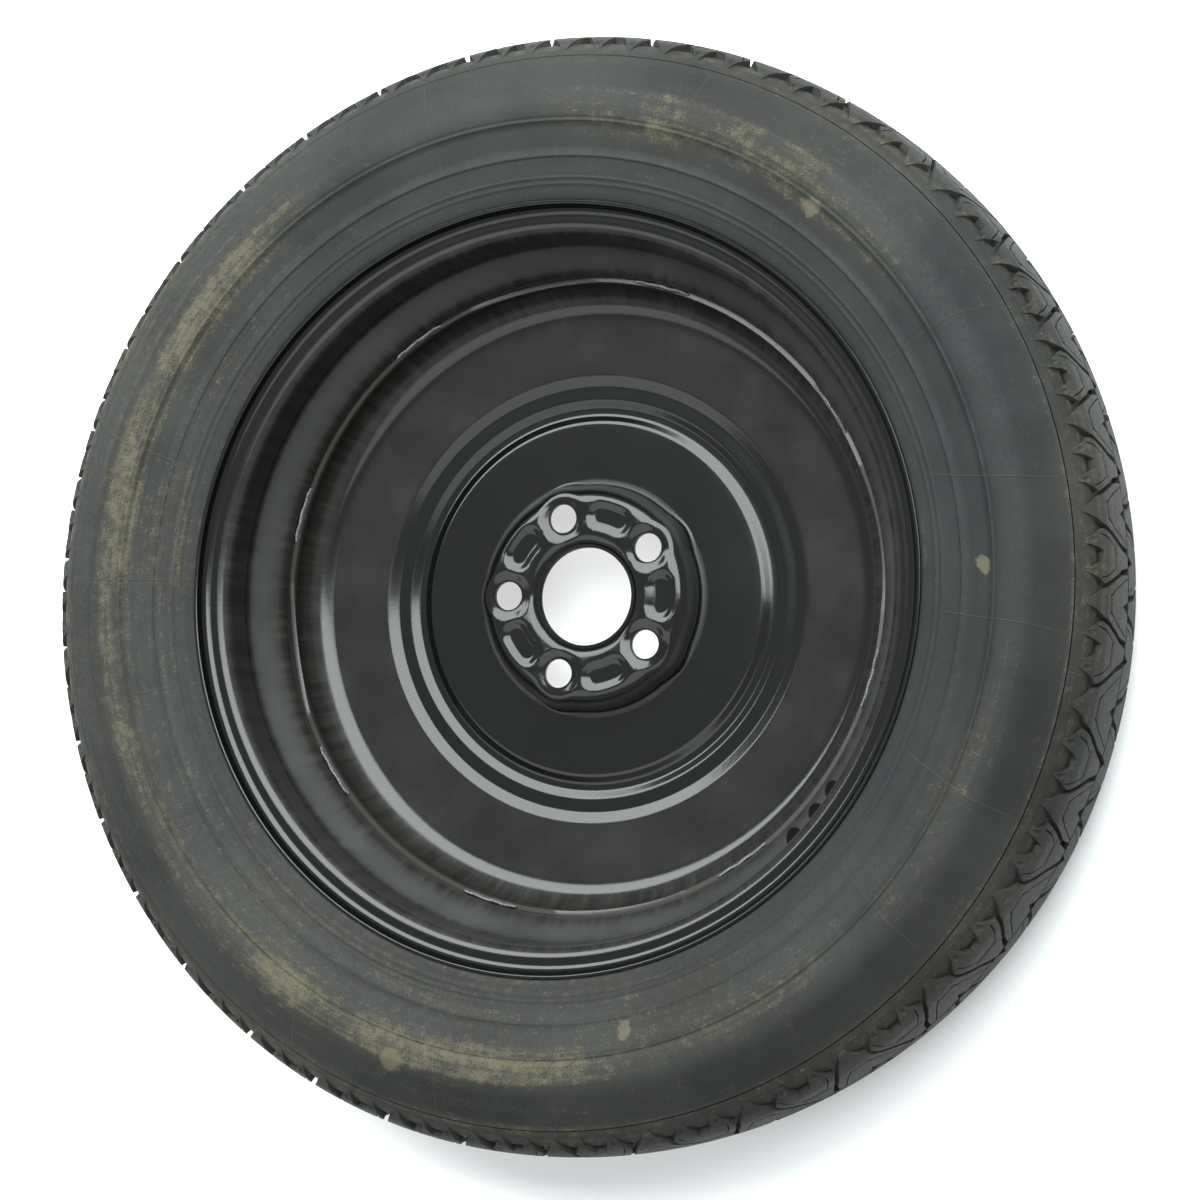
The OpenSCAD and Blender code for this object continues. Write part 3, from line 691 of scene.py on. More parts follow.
@dataclass
class Disc:
    """The pressed steel disc: hub pad, bolt holes, floor, ring beads, crown and scalloped skirt."""

    sizes: WheelSizes
    wall: float = 3.5
    bore_r: float = 32.55
    bore_radius: float = 8.0
    bore_collar: float = 10.0
    bolt_circle_r: float = 54.0
    bolt_r: float = 9.5
    bolt_count: int = 5
    first_bolt_degrees: float = 36.0
    pad_r: float = 66.5
    floor_depth: float = 20.0
    floor_r: float = 118.0
    groove_depth: float = 2.5
    dish_step: float = 5.0
    dish_rise: float = 4.5
    skirt_top: float = 12.5
    skirt_clearance: float = 0.2
    scallop_depth: float = 4.0
    scallop_radius: float = 260.0
    first_scallop_degrees: float = 10.0
    hub_zone_r: float = 90.0
    steps_round: int = 384
    pocket_half_angle: float = 7.0
    pocket_depth: float = 2.2
    pocket_slope: tuple = (11.5, 4.2)
    bore_dish: float = 0.8
    bore_dish_slope: tuple = (15, 5)
    bolt_dimple: float = 1.9
    dimple_slope: tuple = (8.5, 0.2)
    seat_height: float = 3.0
    seat_slope: tuple = (5.5, 3.6)
    cone_depth: float = 2.0
    lobe_past_pad: float = 2.5
    lobe_blend: float = 3.0
    plan_steps_round: int = 252
    hole_steps: int = 96
    hole_rings: tuple = (0, 0.3, 0.8, 1.5, 2.3, 3.2, 4.1, 5.0, 5.9)
    clear_of_hole: float = 6.4
    pocket_rings: tuple = (0.0, 2.0, 3.6, 4.6, 5.6, 6.6, 7.6, 8.6, 9.6)
    clear_of_pocket: float = 10.6

    @property
    def skirt_in_r(self) -> float:
        """Radius of the skirt's inner face."""
        return self.sizes.well_r - self.sizes.rim_wall - self.skirt_clearance - self.wall

    def bolt_points(self) -> list[Point]:
        """Middles of the bolt holes."""
        first = math.radians(self.first_bolt_degrees)
        turn = 2 * math.pi / self.bolt_count
        r = self.bolt_circle_r
        return [(r * math.cos(first + k * turn), r * math.sin(first + k * turn))
                for k in range(self.bolt_count)]

    def pocket_middles(self) -> list[float]:
        """Angles of the pockets' middles, between the bolt holes."""
        first = math.radians(self.first_bolt_degrees)
        return [first + (k + 0.5) * 2 * math.pi / self.bolt_count for k in range(self.bolt_count)]

    def bolt_distance(self, xy: np.ndarray) -> np.ndarray:
        """Distance from the middle of the nearest bolt hole."""
        return np.min([np.hypot(xy[:, 0] - x, xy[:, 1] - y) for x, y in self.bolt_points()], axis=0)

    def pocket_distance(self, xy: np.ndarray) -> np.ndarray:
        """Distance from the centreline of the nearest pocket."""
        best = np.full(len(xy), 1e9)
        half = math.radians(self.pocket_half_angle)
        radius = np.hypot(xy[:, 0], xy[:, 1])
        angle = np.arctan2(xy[:, 1], xy[:, 0])
        for middle in self.pocket_middles():
            off = (angle - middle + math.pi) % (2 * math.pi) - math.pi
            near = np.clip(off, -half, half)
            dx = radius * np.cos(off - near) - self.bolt_circle_r
            dy = radius * np.sin(off - near)
            best = np.minimum(best, np.hypot(dx, dy))
        return best

    def pad_distance(self, xy: np.ndarray) -> np.ndarray:
        """Distance outside the hub pad's edge, with its round lobes at the bolt holes."""
        edge = np.hypot(xy[:, 0], xy[:, 1]) - self.pad_r
        lobe_r = self.pad_r + self.lobe_past_pad - self.bolt_circle_r
        soft = self.lobe_blend
        for x, y in self.bolt_points():
            lobe = np.hypot(xy[:, 0] - x, xy[:, 1] - y) - lobe_r
            blend = np.clip(0.5 + 0.5 * (lobe - edge) / soft, 0, 1)
            edge = lobe + (edge - lobe) * blend - soft * blend * (1 - blend)
        return edge

    def pad_path(self) -> np.ndarray:
        """Section through the pad's edge: distance outside it, and height above the hub face."""
        low = -self.floor_depth
        return divided(rounded_path([(-60, 0, 0), (8.0, 0, 14), (8.5, low, 2.5), (60, low, 0)], 10), 1)

    def hub_heights(self, xy: np.ndarray) -> tuple[np.ndarray, np.ndarray]:
        """Heights of the disc's two faces in the hub zone.

        Args:
            xy: Rows of x and y in millimetres.

        Returns:
            Heights of the inboard and the outboard face above the hub face.
        """
        path = self.pad_path()
        back = path - self.wall * path_normals(path)
        away = self.pad_distance(xy)
        radius = np.hypot(xy[:, 0], xy[:, 1])
        inboard = np.interp(away, path[:, 0], path[:, 1])
        outboard = np.interp(away, back[:, 0], back[:, 1])
        roll = np.clip(self.bore_r + self.bore_radius - radius, 0, self.bore_radius)
        inboard -= self.bore_radius - np.sqrt(self.bore_radius**2 - roll**2)
        outer, inner = (self.bore_r + off for off in self.bore_dish_slope)
        inboard -= self.bore_dish * smooth_step(outer, inner, radius)
        pocket = smooth_step(*self.pocket_slope, self.pocket_distance(xy)) * self.pocket_depth
        inboard -= pocket
        outboard -= pocket
        past_hole = self.bolt_distance(xy) - self.bolt_r
        inboard -= self.bolt_dimple * smooth_step(*self.dimple_slope, past_hole)
        seat = smooth_step(*self.seat_slope, past_hole) * self.seat_height
        cone = np.clip(1 - past_hole / self.cone_depth, 0, 1) * self.cone_depth
        outboard += np.where(away < 0, cone - seat, 0)
        return inboard, outboard

    def hub_plan(self) -> Surface:
        """Lays out the hub zone in plan, with finer rings round the holes, the pockets and the pad's edge."""
        radii = np.concatenate([
            np.linspace(self.bore_r, self.bore_r + self.bore_radius, 11),
            np.arange(self.bore_r + self.bore_radius + 1.5, self.pad_r - 5, 1.8),
            np.arange(self.pad_r - 4.5, self.pad_r + 19, 0.9),
            np.arange(self.pad_r + 20, self.hub_zone_r, 2.6),
            [self.hub_zone_r],
        ])
        rings = np.concatenate([ring_of((0, 0), r, self.plan_steps_round) for r in radii])
        clear = self.pocket_distance(rings) > self.clear_of_pocket
        clear &= self.bolt_distance(rings) > self.bolt_r + self.clear_of_hole
        clear |= np.hypot(rings[:, 0], rings[:, 1]) < self.bore_r + self.bore_radius + 1
        pieces = [rings[clear]]
        for point in self.bolt_points():
            for step in self.hole_rings:
                pieces.append(ring_of(point, self.bolt_r + step, self.hole_steps))
        half = math.radians(self.pocket_half_angle)
        for middle in self.pocket_middles():
            for off in self.pocket_rings:
                pieces.append(self.kidney(middle, half, off))
        points = np.concatenate(pieces)
        verts, _, faces, *_ = delaunay_2d_cdt([Vector(p) for p in points.tolist()], [], [], 0, 1e-5)
        plan = np.array([tuple(v) for v in verts])
        corner = np.array(faces)
        middle = plan[corner].mean(1)
        radius = np.hypot(middle[:, 0], middle[:, 1])
        keep = (radius > self.bore_r * 0.9995) & (radius < self.hub_zone_r)
        keep &= self.bolt_distance(middle) > self.bolt_r * 0.999
        return plan, corner[keep].tolist()

    def kidney(self, middle: float, half: float, off: float) -> np.ndarray:
        """Points at one distance round a pocket's centreline."""
        r = self.bolt_circle_r
        turn = middle + np.linspace(-half, half, 16)
        if off == 0:
            return polar(r, turn)
        ends = []
        for sign in (1, -1):
            a = middle + sign * half
            sweep = np.linspace(0, math.pi, 14)[1:-1]
            ends.append(np.array([r * math.cos(a), r * math.sin(a)]) + polar(off, a + sign * sweep))
        return np.concatenate([polar(r + off, turn), polar(r - off, turn), *ends])

    def scallop(self, angle: np.ndarray) -> np.ndarray:
        """How far the skirt's edge dips at each angle."""
        turn = math.pi / 2
        off = (angle - math.radians(self.first_scallop_degrees) + turn / 2) % turn - turn / 2
        across = self.sizes.well_r * np.sin(off)
        dip = self.scallop_depth - (self.scallop_radius - np.sqrt(self.scallop_radius**2 - across**2))
        return np.maximum(dip, 0)

    def outer_section(self) -> np.ndarray:
        """Closed section from the hub zone to the skirt's edge."""
        groove = -self.floor_depth - self.groove_depth
        dish = groove + self.dish_step
        f = self.floor_r
        corners = [
            (self.hub_zone_r, -self.floor_depth, 0),
            (f, -self.floor_depth, 6), (f + 5, groove, 5), (f + 10, groove, 5),
            (f + 15, groove + self.groove_depth, 6), (f + 24, groove + self.groove_depth, 6),
            (f + 31, dish, 8), (self.skirt_in_r, dish + self.dish_rise, 20),
            (self.skirt_in_r, self.skirt_top - 0.5, 0), (self.skirt_in_r + 0.5, self.skirt_top, 0),
        ]
        face = divided(rounded_path(corners), 5.5)
        back = face - self.wall * path_normals(face)
        back[-1] = (self.skirt_in_r + self.wall, self.skirt_top - 0.3)
        back[-2] = (self.skirt_in_r + self.wall, self.skirt_top - 0.8)
        return np.concatenate([face, back[::-1]])

    def edge_heights(self, angle: np.ndarray, path: np.ndarray) -> np.ndarray:
        """Heights of the outer section's points, with the skirt's edge dipped at the scallops."""
        low = self.sizes.hub_height
        high = self.skirt_top + low
        share = np.clip((path[:, 1] - low) / (high - low), 0, 1)
        return path[:, 1] - self.scallop(angle)[:, None] * share

    def bolt_wall(self, centre: Point) -> Surface:
        """Wall of a bolt hole between the disc's two faces."""
        count = self.hole_steps
        ring = ring_of(centre, self.bolt_r, count)
        sides = [np.column_stack([ring, height + self.sizes.hub_height]) for height in self.hub_heights(ring)]
        faces = [[k, (k + 1) % count, count + (k + 1) % count, count + k] for k in range(count)]
        return np.concatenate(sides), faces

    def build(self, paint: bpy.types.Material) -> bpy.types.Object:
        """Makes the disc.

        Args:
            paint: The disc's finish.

        Returns:
            The disc.
        """
        plan, faces = self.hub_plan()
        inboard, outboard = self.hub_heights(plan)
        lift = self.sizes.hub_height
        parts = [
            (np.column_stack([plan, inboard + lift]), faces),
            (np.column_stack([plan, outboard + lift]), [f[::-1] for f in faces]),
        ]
        parts += [self.bolt_wall(point) for point in self.bolt_points()]
        collar = rounded_path([
            (self.bore_r, -self.bore_radius, 0), (self.bore_r, -self.bore_collar, 0.8),
            (self.bore_r + self.wall, -self.bore_collar, 0.8), (self.bore_r + self.wall, -self.wall, 0),
        ])
        collar[:, 1] += lift
        parts.append(turned(divided(collar, 2), 144, False))
        section = self.outer_section()
        section[:, 1] += lift
        parts.append(turned(section, self.steps_round, True, self.edge_heights))
        disc = mesh_object("disc_skin", *joined(parts), sharp_degrees=50)
        disc.data.materials.append(paint)
        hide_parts("disc")
        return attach(disc, "wheel")


@dataclass
class Welds:
    """Stitch welds between the disc's skirt and the rim's well."""

    disc: Disc
    length: float = 40.0
    height: float = 3.2
    sunk: float = 0.6
    from_scallop_degrees: float = 25.0
    ripples: int = 26
    steps_a_ripple: int = 6
    steps_over: int = 11
    ripple_foot: float = 0.82
    ripple_rise: float = 0.18
    wander: float = 0.25
    wander_rate: float = 9.0
    bluntness: int = 8

    def build(self, steel: bpy.types.Material) -> bpy.types.Object:
        """Makes the eight beads with their ripples.

        Args:
            steel: The beads' finish.

        Returns:
            The beads as one piece.
        """
        disc = self.disc
        outer = disc.sizes.well_r - disc.sizes.rim_wall
        inner = disc.skirt_in_r + self.sunk
        middle_r = (outer + inner) / 2
        half_r = (outer - inner) / 2
        half = self.length / 2 / outer
        parts = []
        steps = self.ripples * self.steps_a_ripple
        ring = np.linspace(0, math.pi, self.steps_over)
        for quarter in range(4):
            for side in (-1, 1):
                degrees = disc.first_scallop_degrees + 90 * quarter + side * self.from_scallop_degrees
                middle = math.radians(degrees)
                points = []
                for t in np.linspace(-1, 1, steps):
                    end = math.sqrt(max(0.0, 1 - t**self.bluntness))
                    wave = abs(math.sin(math.pi * self.ripples * (t + 1) / 2))
                    ripple = self.ripple_foot + self.ripple_rise * wave
                    wander = self.wander * math.sin(self.wander_rate * t + quarter)
                    r = middle_r + wander + half_r * end * np.cos(ring)
                    z = disc.skirt_top - self.sunk + (self.height + 0.4) * end * ripple * np.sin(ring)
                    a = middle + half * t
                    points.append(np.stack([r * math.cos(a), r * math.sin(a), z + disc.sizes.hub_height], 1))
                rows = len(ring)
                faces = [[i * rows + j, (i + 1) * rows + j, (i + 1) * rows + j + 1, i * rows + j + 1]
                         for i in range(steps - 1) for j in range(rows - 1)]
                parts.append((np.concatenate(points), faces))
        beads = mesh_object("weld_beads", *joined(parts), sharp_degrees=70)
        beads.data.materials.append(steel)
        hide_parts("disc_welds")
        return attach(beads, "wheel")


@dataclass
class Tread:
    """Block tread in two halves of short and long pitches, laid out flat and wrapped on the tyre."""

    sizes: WheelSizes
    depth: float = 4.5
    groove_width: float = 3.4
    notch_reach: float = 13.0
    notch_run_out: float = 10.5
    blunt_width: float = 6.0
    groove_spread: float = 5.5
    line_width: float = 2.0
    line_draft: float = 0.3
    draft: float = 0.45
    long_pitch: float = 1.25
    sipe_width: float = 0.9
    sipe_depth: float = 2.6
    ridge_width: float = 4.0
    ridge_depth: float = 0.9
    pit_r: float = 1.9
    pit_floor_r: float = 0.9
    pit_depth: float = 0.9
    first_pitch_degrees: float = -60.0
    edge_z: float = 60.0
    order: str = "LLLSLSSSSSLLLLLSLSSLLSSSLSSSLSSSSSLL"
    cuts: list = field(default_factory=list)
    slits: list = field(default_factory=list)
    pits: list = field(default_factory=list)

    @property
    def round_length(self) -> float:
        """Length of the tread's middle line."""
        return 2 * math.pi * self.sizes.tyre_r

    def pitch_edges(self) -> np.ndarray:
        """Places along the tread where its pitches start, and where the last one ends."""
        widths = np.array([self.long_pitch if c == "L" else 1.0 for c in self.order])
        edges = np.concatenate([[0], np.cumsum(widths)]) / widths.sum()
        return edges * self.round_length

    def lay_out(self) -> None:
        """Draws every cut of the tread, with one spare pitch at each end."""
        edges = self.pitch_edges()
        spare = np.concatenate([[edges[-2] - edges[-1]], edges, [edges[1] + edges[-1]]])
        middles = (spare[1:] + spare[:-1]) / 2
        for a, b in zip(spare, spare[1:]):
            self.pitch(a, b, Side.INBOARD)
        for a, b in zip(middles, middles[1:]):
            self.pitch(a, b, Side.OUTBOARD)

    def groove(self, width: float) -> list[Point]:
        """Outline of a shoulder notch and the groove that runs from it to the tread's middle."""
        t = self.sizes.tread_half
        g = self.groove_width / 2
        foot, upper, lower = 0.175 * width, 0.27 * width, 0.355 * width
        end = width / 2 - self.groove_spread
        wide = 0.68 * self.groove_width
        top = t + self.notch_reach
        return [
            (0.4, top), (foot - g, t + 1.5), (upper - g, 0.7 * t), (lower - g, 0.41 * t), (end - wide, 0),
            (end + wide, 0), (lower + g, 0.41 * t), (upper + g, 0.7 * t), (foot + g, t + 1.5),
            (0.345 * width - 0.4, top),
        ]

    def pitch(self, first: float, last: float, side: Side) -> None:
        """Draws one pitch.

        Args:
            first: Where the pitch starts along the tread.
            last: Where it ends.
            side: The half that it is on.
        """
        width = last - first
        middle = (first + last) / 2
        t = self.sizes.tread_half

        def placed(at: float, outline: list[Point], mirror: int = 1) -> list[Point]:
            """Puts an outline at a place along the tread."""
            return [(at + mirror * x, side.value * z) for x, z in outline]

        sipes = (
            [(0.085 * width, 0.84 * t), (0.175 * width, 0.62 * t), (0.26 * width, 0.3 * t),
             (0.315 * width, 0.06 * t)],
            [(0.262 * width, t + 4), (0.29 * width, 0.97 * t), (0.375 * width, 0.72 * t)],
        )
        for mirror in (1, -1):
            self.cuts.append(placed(middle, self.groove(width), mirror))
            for sipe in sipes:
                self.slits.append((placed(middle, sipe, mirror), self.sipe_width, self.sipe_depth))
            self.pits.extend(placed(middle, [(0.33 * width, t + 8.5)], mirror))
        for at, reach, height in ((middle, 0.085 * width, 0.84 * t), (first, 0.115 * width, 0.68 * t)):
            ridge = placed(at, [(-reach, height), (reach, height)])
            self.slits.append((ridge, self.ridge_width, self.ridge_depth))
        blunt, tip, top = self.blunt_width / 2, 0.155 * width - 0.4, t + self.notch_reach
        self.cuts.append(placed(first, [(-tip, top), (-blunt, t + 1.5), (blunt, t + 1.5), (tip, top)]))
        self.cuts.append(placed(middle, [(-4.2, 0.5), (0, 13.0), (4.2, 0.5)]))
        self.pits.append((first, side.value * (t + 9.5)))

    @staticmethod
    def inset(polygon: list[Point], by: float) -> np.ndarray:
        """Moves a polygon's sides inwards."""
        p = np.array(polygon, float)
        area = 0.5 * np.sum(p[:, 0] * np.roll(p[:, 1], -1) - np.roll(p[:, 0], -1) * p[:, 1])
        if area < 0:
            p = p[::-1]
        before = p - np.roll(p, 1, 0)
        after = np.roll(p, -1, 0) - p
        n1 = np.stack([-before[:, 1], before[:, 0]], 1) / np.linalg.norm(before, axis=1)[:, None]
        n2 = np.stack([-after[:, 1], after[:, 0]], 1) / np.linalg.norm(after, axis=1)[:, None]
        middle = n1 + n2
        middle /= np.linalg.norm(middle, axis=1)[:, None]
        stretch = np.minimum(1 / np.maximum((middle * n1).sum(1), 0.2), 3.0)
        return p + middle * (by * stretch)[:, None]

    @staticmethod
    def depth_inside(xy: np.ndarray, polygon: np.ndarray) -> np.ndarray:
        """Distance of each point inside a polygon from its sides, or 0 outside."""
        x, y = xy[:, 0], xy[:, 1]
        inside = np.zeros(len(xy), bool)
        nearest = np.full(len(xy), 1e9)
        for a, b in zip(polygon, np.roll(polygon, -1, 0)):
            crosses = (a[1] > y) != (b[1] > y)
            with np.errstate(divide="ignore", invalid="ignore"):
                at = (b[0] - a[0]) * (y - a[1]) / (b[1] - a[1]) + a[0]
            inside ^= crosses & (x < at)
            nearest = np.minimum(nearest, Tread.distance(xy, a, b))
        return np.where(inside, nearest, 0)

    @staticmethod
    def distance(xy: np.ndarray, a: np.ndarray, b: np.ndarray) -> np.ndarray:
        """Distance of each point from a line between two points."""
        d = b - a
        t = np.clip(((xy - a) @ d) / max(float(d @ d), 1e-12), 0, 1)
        return np.linalg.norm(xy - a - t[:, None] * d, axis=1)

    def full_depth(self, z: np.ndarray) -> np.ndarray:
        """Depth of the grooves, which run out in the shoulder notches."""
        top = self.sizes.tread_half + self.notch_reach
        return self.depth * np.clip((top - np.abs(z)) / self.notch_run_out, 0, 1)

    def sunk(self, xy: np.ndarray) -> np.ndarray:
        """How far each point of the flat layout lies below the tread's surface."""
        # A hair wider than the line's floor, so that the points on the floor's edge are sunk too.
        line_foot = self.line_width / 2 - self.line_draft + 0.01
        sunk = np.where(np.abs(xy[:, 1]) < line_foot, self.depth / 2, 0.0)
        order = np.argsort(xy[:, 0])
        along = xy[order, 0]
        full = self.full_depth(xy[:, 1])

        def near(low: float, high: float) -> np.ndarray:
            """Points whose place along the tread lies between two limits."""
            return order[np.searchsorted(along, low - 1):np.searchsorted(along, high + 1)]

        for cut in self.cuts:
            p = np.array(cut)
            k = near(p[:, 0].min(), p[:, 0].max())
            share = np.clip(self.depth_inside(xy[k], p) / (self.draft * 0.98), 0, 1)
            sunk[k] = np.maximum(sunk[k], share * full[k])
        for line, width, depth in self.slits:
            p = np.array(line)
            k = near(p[:, 0].min() - width, p[:, 0].max() + width)
            off = np.min([self.distance(xy[k], a, b) for a, b in zip(p, p[1:])], axis=0)
            sunk[k] = np.maximum(sunk[k], depth * np.clip(1 - off / (width / 2), 0, 1))
        for pit in self.pits:
            k = near(pit[0] - 3, pit[0] + 3)
            off = np.linalg.norm(xy[k] - np.array(pit), axis=1)
            sunk[k] = np.maximum(sunk[k], self.pit_depth * smooth_step(self.pit_r, self.pit_floor_r, off))
        return sunk

    def plan(self) -> Surface:
        """Lays the tread out flat as triangles whose sides follow every cut."""
        points: list[np.ndarray] = []
        edges: list[tuple[int, int]] = []
        count = 0

        def line(p: np.ndarray, closed: bool) -> None:
            """Adds a line or an outline."""
            nonlocal count
            p = self.stepped(np.asarray(p, float), closed)
            points.append(p)
            last = len(p) if closed else len(p) - 1
            edges.extend((count + i, count + (i + 1) % len(p)) for i in range(last))
            count += len(p)

        for cut in self.cuts:
            line(np.array(cut), True)
            line(self.inset(cut, self.draft), True)
        for slit, width, _ in self.slits:
            p = np.array(slit)
            along = np.gradient(p, axis=0)
            side = np.stack([-along[:, 1], along[:, 0]], 1) / np.linalg.norm(along, axis=1)[:, None]
            for off in (-width / 2, 0, width / 2):
                line(p + side * off, False)
        for x, z in self.pits:
            points.extend([ring_of((x, z), self.pit_floor_r, 8), ring_of((x, z), self.pit_r, 12)])
            count += 20
        length, spare = self.round_length, 90
        half_line = self.line_width / 2
        line_edges = (half_line - self.line_draft, half_line)
        for z in line_edges:
            for s in (1, -1):
                line(np.array([(-spare, s * z), (length + spare, s * z)]), False)
        rows = [0.0, *line_edges, 5, 9, 14, 19, 24, 29, 34, 38, 41, 43.5, 46, 48.5, 51, 54, 57.5, self.edge_z]
        seam = sorted({s * z for z in rows for s in (1, -1)})
        for x in (0.0, length):
            line(np.array([(x, z) for z in seam]), False)
        for z in rows:
            if z in line_edges:
                continue
            step = 2.5 if z > 40 else 4.5
            xs = np.arange(-spare, length + spare, step) + (0.4 * step if rows.index(z) % 2 else 0)
            for s in ((1, -1) if z else (1,)):
                grid = np.stack([xs, np.full(len(xs), s * z)], 1)
                points.append(grid)
                count += len(grid)
        everything = np.concatenate(points)
        verts, _, faces, *_ = delaunay_2d_cdt([Vector(p) for p in everything.tolist()], edges, [], 0, 1e-4)
        plan = np.array([tuple(v) for v in verts])
        corner = np.array(faces)
        middle = plan[corner].mean(1)[:, 0]
        keep = (middle >= 0) & (middle < length)
        keep &= np.abs(plan[corner][:, :, 1]).max(1) <= self.edge_z + 0.01
        return plan, corner[keep].tolist()

    @staticmethod
    def stepped(p: np.ndarray, closed: bool) -> np.ndarray:
        """Adds points on a line's long stretches."""
        q = np.concatenate([p, p[:1]]) if closed else p
        out = divided(q, 6.0)
        return out[:-1] if closed else out

    def wrap(self, plan: np.ndarray, sunk: np.ndarray, profile: np.ndarray) -> np.ndarray:
        """Wraps the flat layout on the tyre.

        Args:
            plan: Rows of the place along the tread and across it.
            sunk: How far each point lies below the surface.
            profile: The tyre's outer profile, as radius and height from its middle plane.

        Returns:
            Points round the wheel's axis.
        """
        crown = profile[:, 0] > self.sizes.tyre_r - 30
        order = np.argsort(profile[crown, 1])
        p = profile[crown][order]
        normal = path_normals(profile)[crown][order]
        normal *= np.where(normal[:, :1] < 0, -1, 1)
        radius = np.interp(plan[:, 1], p[:, 1], p[:, 0])
        n_r = np.interp(plan[:, 1], p[:, 1], normal[:, 0])
        n_z = np.interp(plan[:, 1], p[:, 1], normal[:, 1])
        radius = np.minimum(radius - sunk * n_r, self.sizes.tyre_r)
        height = plan[:, 1] - sunk * n_z + self.sizes.rim_offset + self.sizes.hub_height
        angle = math.radians(self.first_pitch_degrees) + plan[:, 0] / self.sizes.tyre_r
        return np.column_stack([polar(radius, angle), height])


@dataclass
class Tyre:
    """The temporary tyre: beads, ringed sidewalls and block tread."""

    sizes: WheelSizes
    steps_round: int = 432
    tread_edge: float = 60.0
    shoulder_r: float = 330.0
    chamber_wall: float = 6.0
    straight_within: float = 0.012
    longest_step: float = 5.0
    rings: tuple = (
        (0.428, 1.3, 0.9), (0.440, 1.3, -0.3), (0.243, 1.4, 0.8), (0.825, 0.8, 0.5), (0.853, 0.8, 0.5),
        (0.125, 1.0, 0.5), (0.09, 0.8, 0.4),
    )

    def bead(self) -> list[Corner]:
        """Corners of the bead, as radius and height from the tyre's middle plane."""
        s = self.sizes
        c = s.bead_clearance
        return [
            (s.seat_end_r + c, s.rim_half - s.seat_width + 1, 0),
            (s.seat_r + c, s.rim_half - c, 6.5),
            (s.flange_r + c, s.rim_half - c, s.flange_radius + c),
            (s.flange_r + c, s.rim_half + s.flange_roll - 1.3, 0.6),
            (s.flange_r + 2.2, s.rim_half + s.flange_roll - 0.1, 1.5),
        ]

    def outer_profile(self) -> np.ndarray:
        """Outer profile from the inboard bead to the outboard bead, from the tyre's middle plane."""
        s = self.sizes
        high = s.tyre_r - s.flange_r
        half = self.bead() + [
            (s.flange_r + 0.244 * high, s.side_half - 9.7, 60),
            (s.flange_r + 0.485 * high, s.side_half, 29),
            (s.flange_r + 0.597 * high, s.side_half, 24),
            (s.flange_r + 0.785 * high, s.side_half - 14, 50),
            (s.flange_r + 0.933 * high, s.tread_half + 7, 14),
            (s.tyre_r - s.crown_drop, s.tread_half - 2, 10),
        ]
        crown = (s.tyre_r + s.crown_drop * 0.97, 0.0, s.tread_half**2 / 2 / s.crown_drop * 0.88)
        other = [(r, -z, c) for r, z, c in reversed(half)]
        return divided(rounded_path(half + [crown] + other, 8), 2.0)

    def ringed(self, path: np.ndarray) -> np.ndarray:
        """Adds the moulded rings to a sidewall's profile."""
        s = self.sizes
        high = s.tyre_r - s.flange_r
        normal = path_normals(path)
        normal *= np.where(normal[:, 1:] * path[:, 1:] < 0, -1, 1)
        out = path.copy()
        for share, width, rise in self.rings:
            off = np.abs(path[:, 0] - (s.flange_r + share * high))
            out += normal * (rise * smooth_step(width, width * 0.3, off))[:, None]
        return out

    def sidewall(self, side: Side) -> Surface:
        """Surface of one sidewall, from its bead to the edge of the tread."""
        profile = self.outer_profile()
        path = profile[profile[:, 1] * side.value > 0]
        path = path if side is Side.INBOARD else path[::-1]
        on_shoulder = path[:, 0] > self.shoulder_r
        path = path[:np.argmax((np.abs(path[:, 1]) < self.tread_edge) & on_shoulder)]
        from_edge = np.abs(profile[:, 1] - side.value * self.tread_edge)
        a, b = path[-1], profile[np.argmin(from_edge + 1000 * (profile[:, 0] < self.shoulder_r))]
        share = (abs(a[1]) - self.tread_edge) / max(abs(a[1]) - abs(b[1]), 1e-6)
        path = np.concatenate([path, [a + (b - a) * share]]) if share > 0.01 else path
        fine = self.ringed(divided(path, 0.9))
        fine[:, 1] += self.sizes.rim_offset + self.sizes.hub_height
        return turned(self.thinned(fine), self.steps_round, False)

    def thinned(self, path: np.ndarray) -> np.ndarray:
        """Drops points of a path where it is straight."""
        keep = [0]
        for i in range(1, len(path) - 1):
            a, b, c = path[keep[-1]], path[i], path[i + 1]
            d = c - a
            off = abs(d[0] * (b - a)[1] - d[1] * (b - a)[0]) / max(float(np.linalg.norm(d)), 1e-9)
            if off > self.straight_within or np.linalg.norm(b - a) > self.longest_step:
                keep.append(i)
        keep.append(len(path) - 1)
        return path[keep]

    def lining(self) -> Surface:
        """Inner surface of the tyre's chamber, from one bead to the other."""
        s = self.sizes
        high = s.tyre_r - s.flange_r
        wall = self.chamber_wall
        half = [
            (s.seat_end_r + s.bead_clearance, s.rim_half - s.seat_width + 1, 0),
            (s.seat_end_r + s.bead_clearance + 4, s.rim_half - s.seat_width + 1, 1),
            (s.seat_r + 14, s.rim_half - 14, 14),
            (s.flange_r + 0.125 * high, s.side_half - wall - 11, 20),
            (s.flange_r + 0.446 * high, s.side_half - wall + 1, 35),
            (s.flange_r + 0.768 * high, s.side_half - wall - 16, 30),
            (s.tyre_r - s.crown_drop - 10, s.tread_half - 6, 18),
        ]
        path = rounded_path(half + [(r, -z, c) for r, z, c in reversed(half)], 4)
        path[:, 1] += s.rim_offset + s.hub_height
        return turned(path, 120, False)

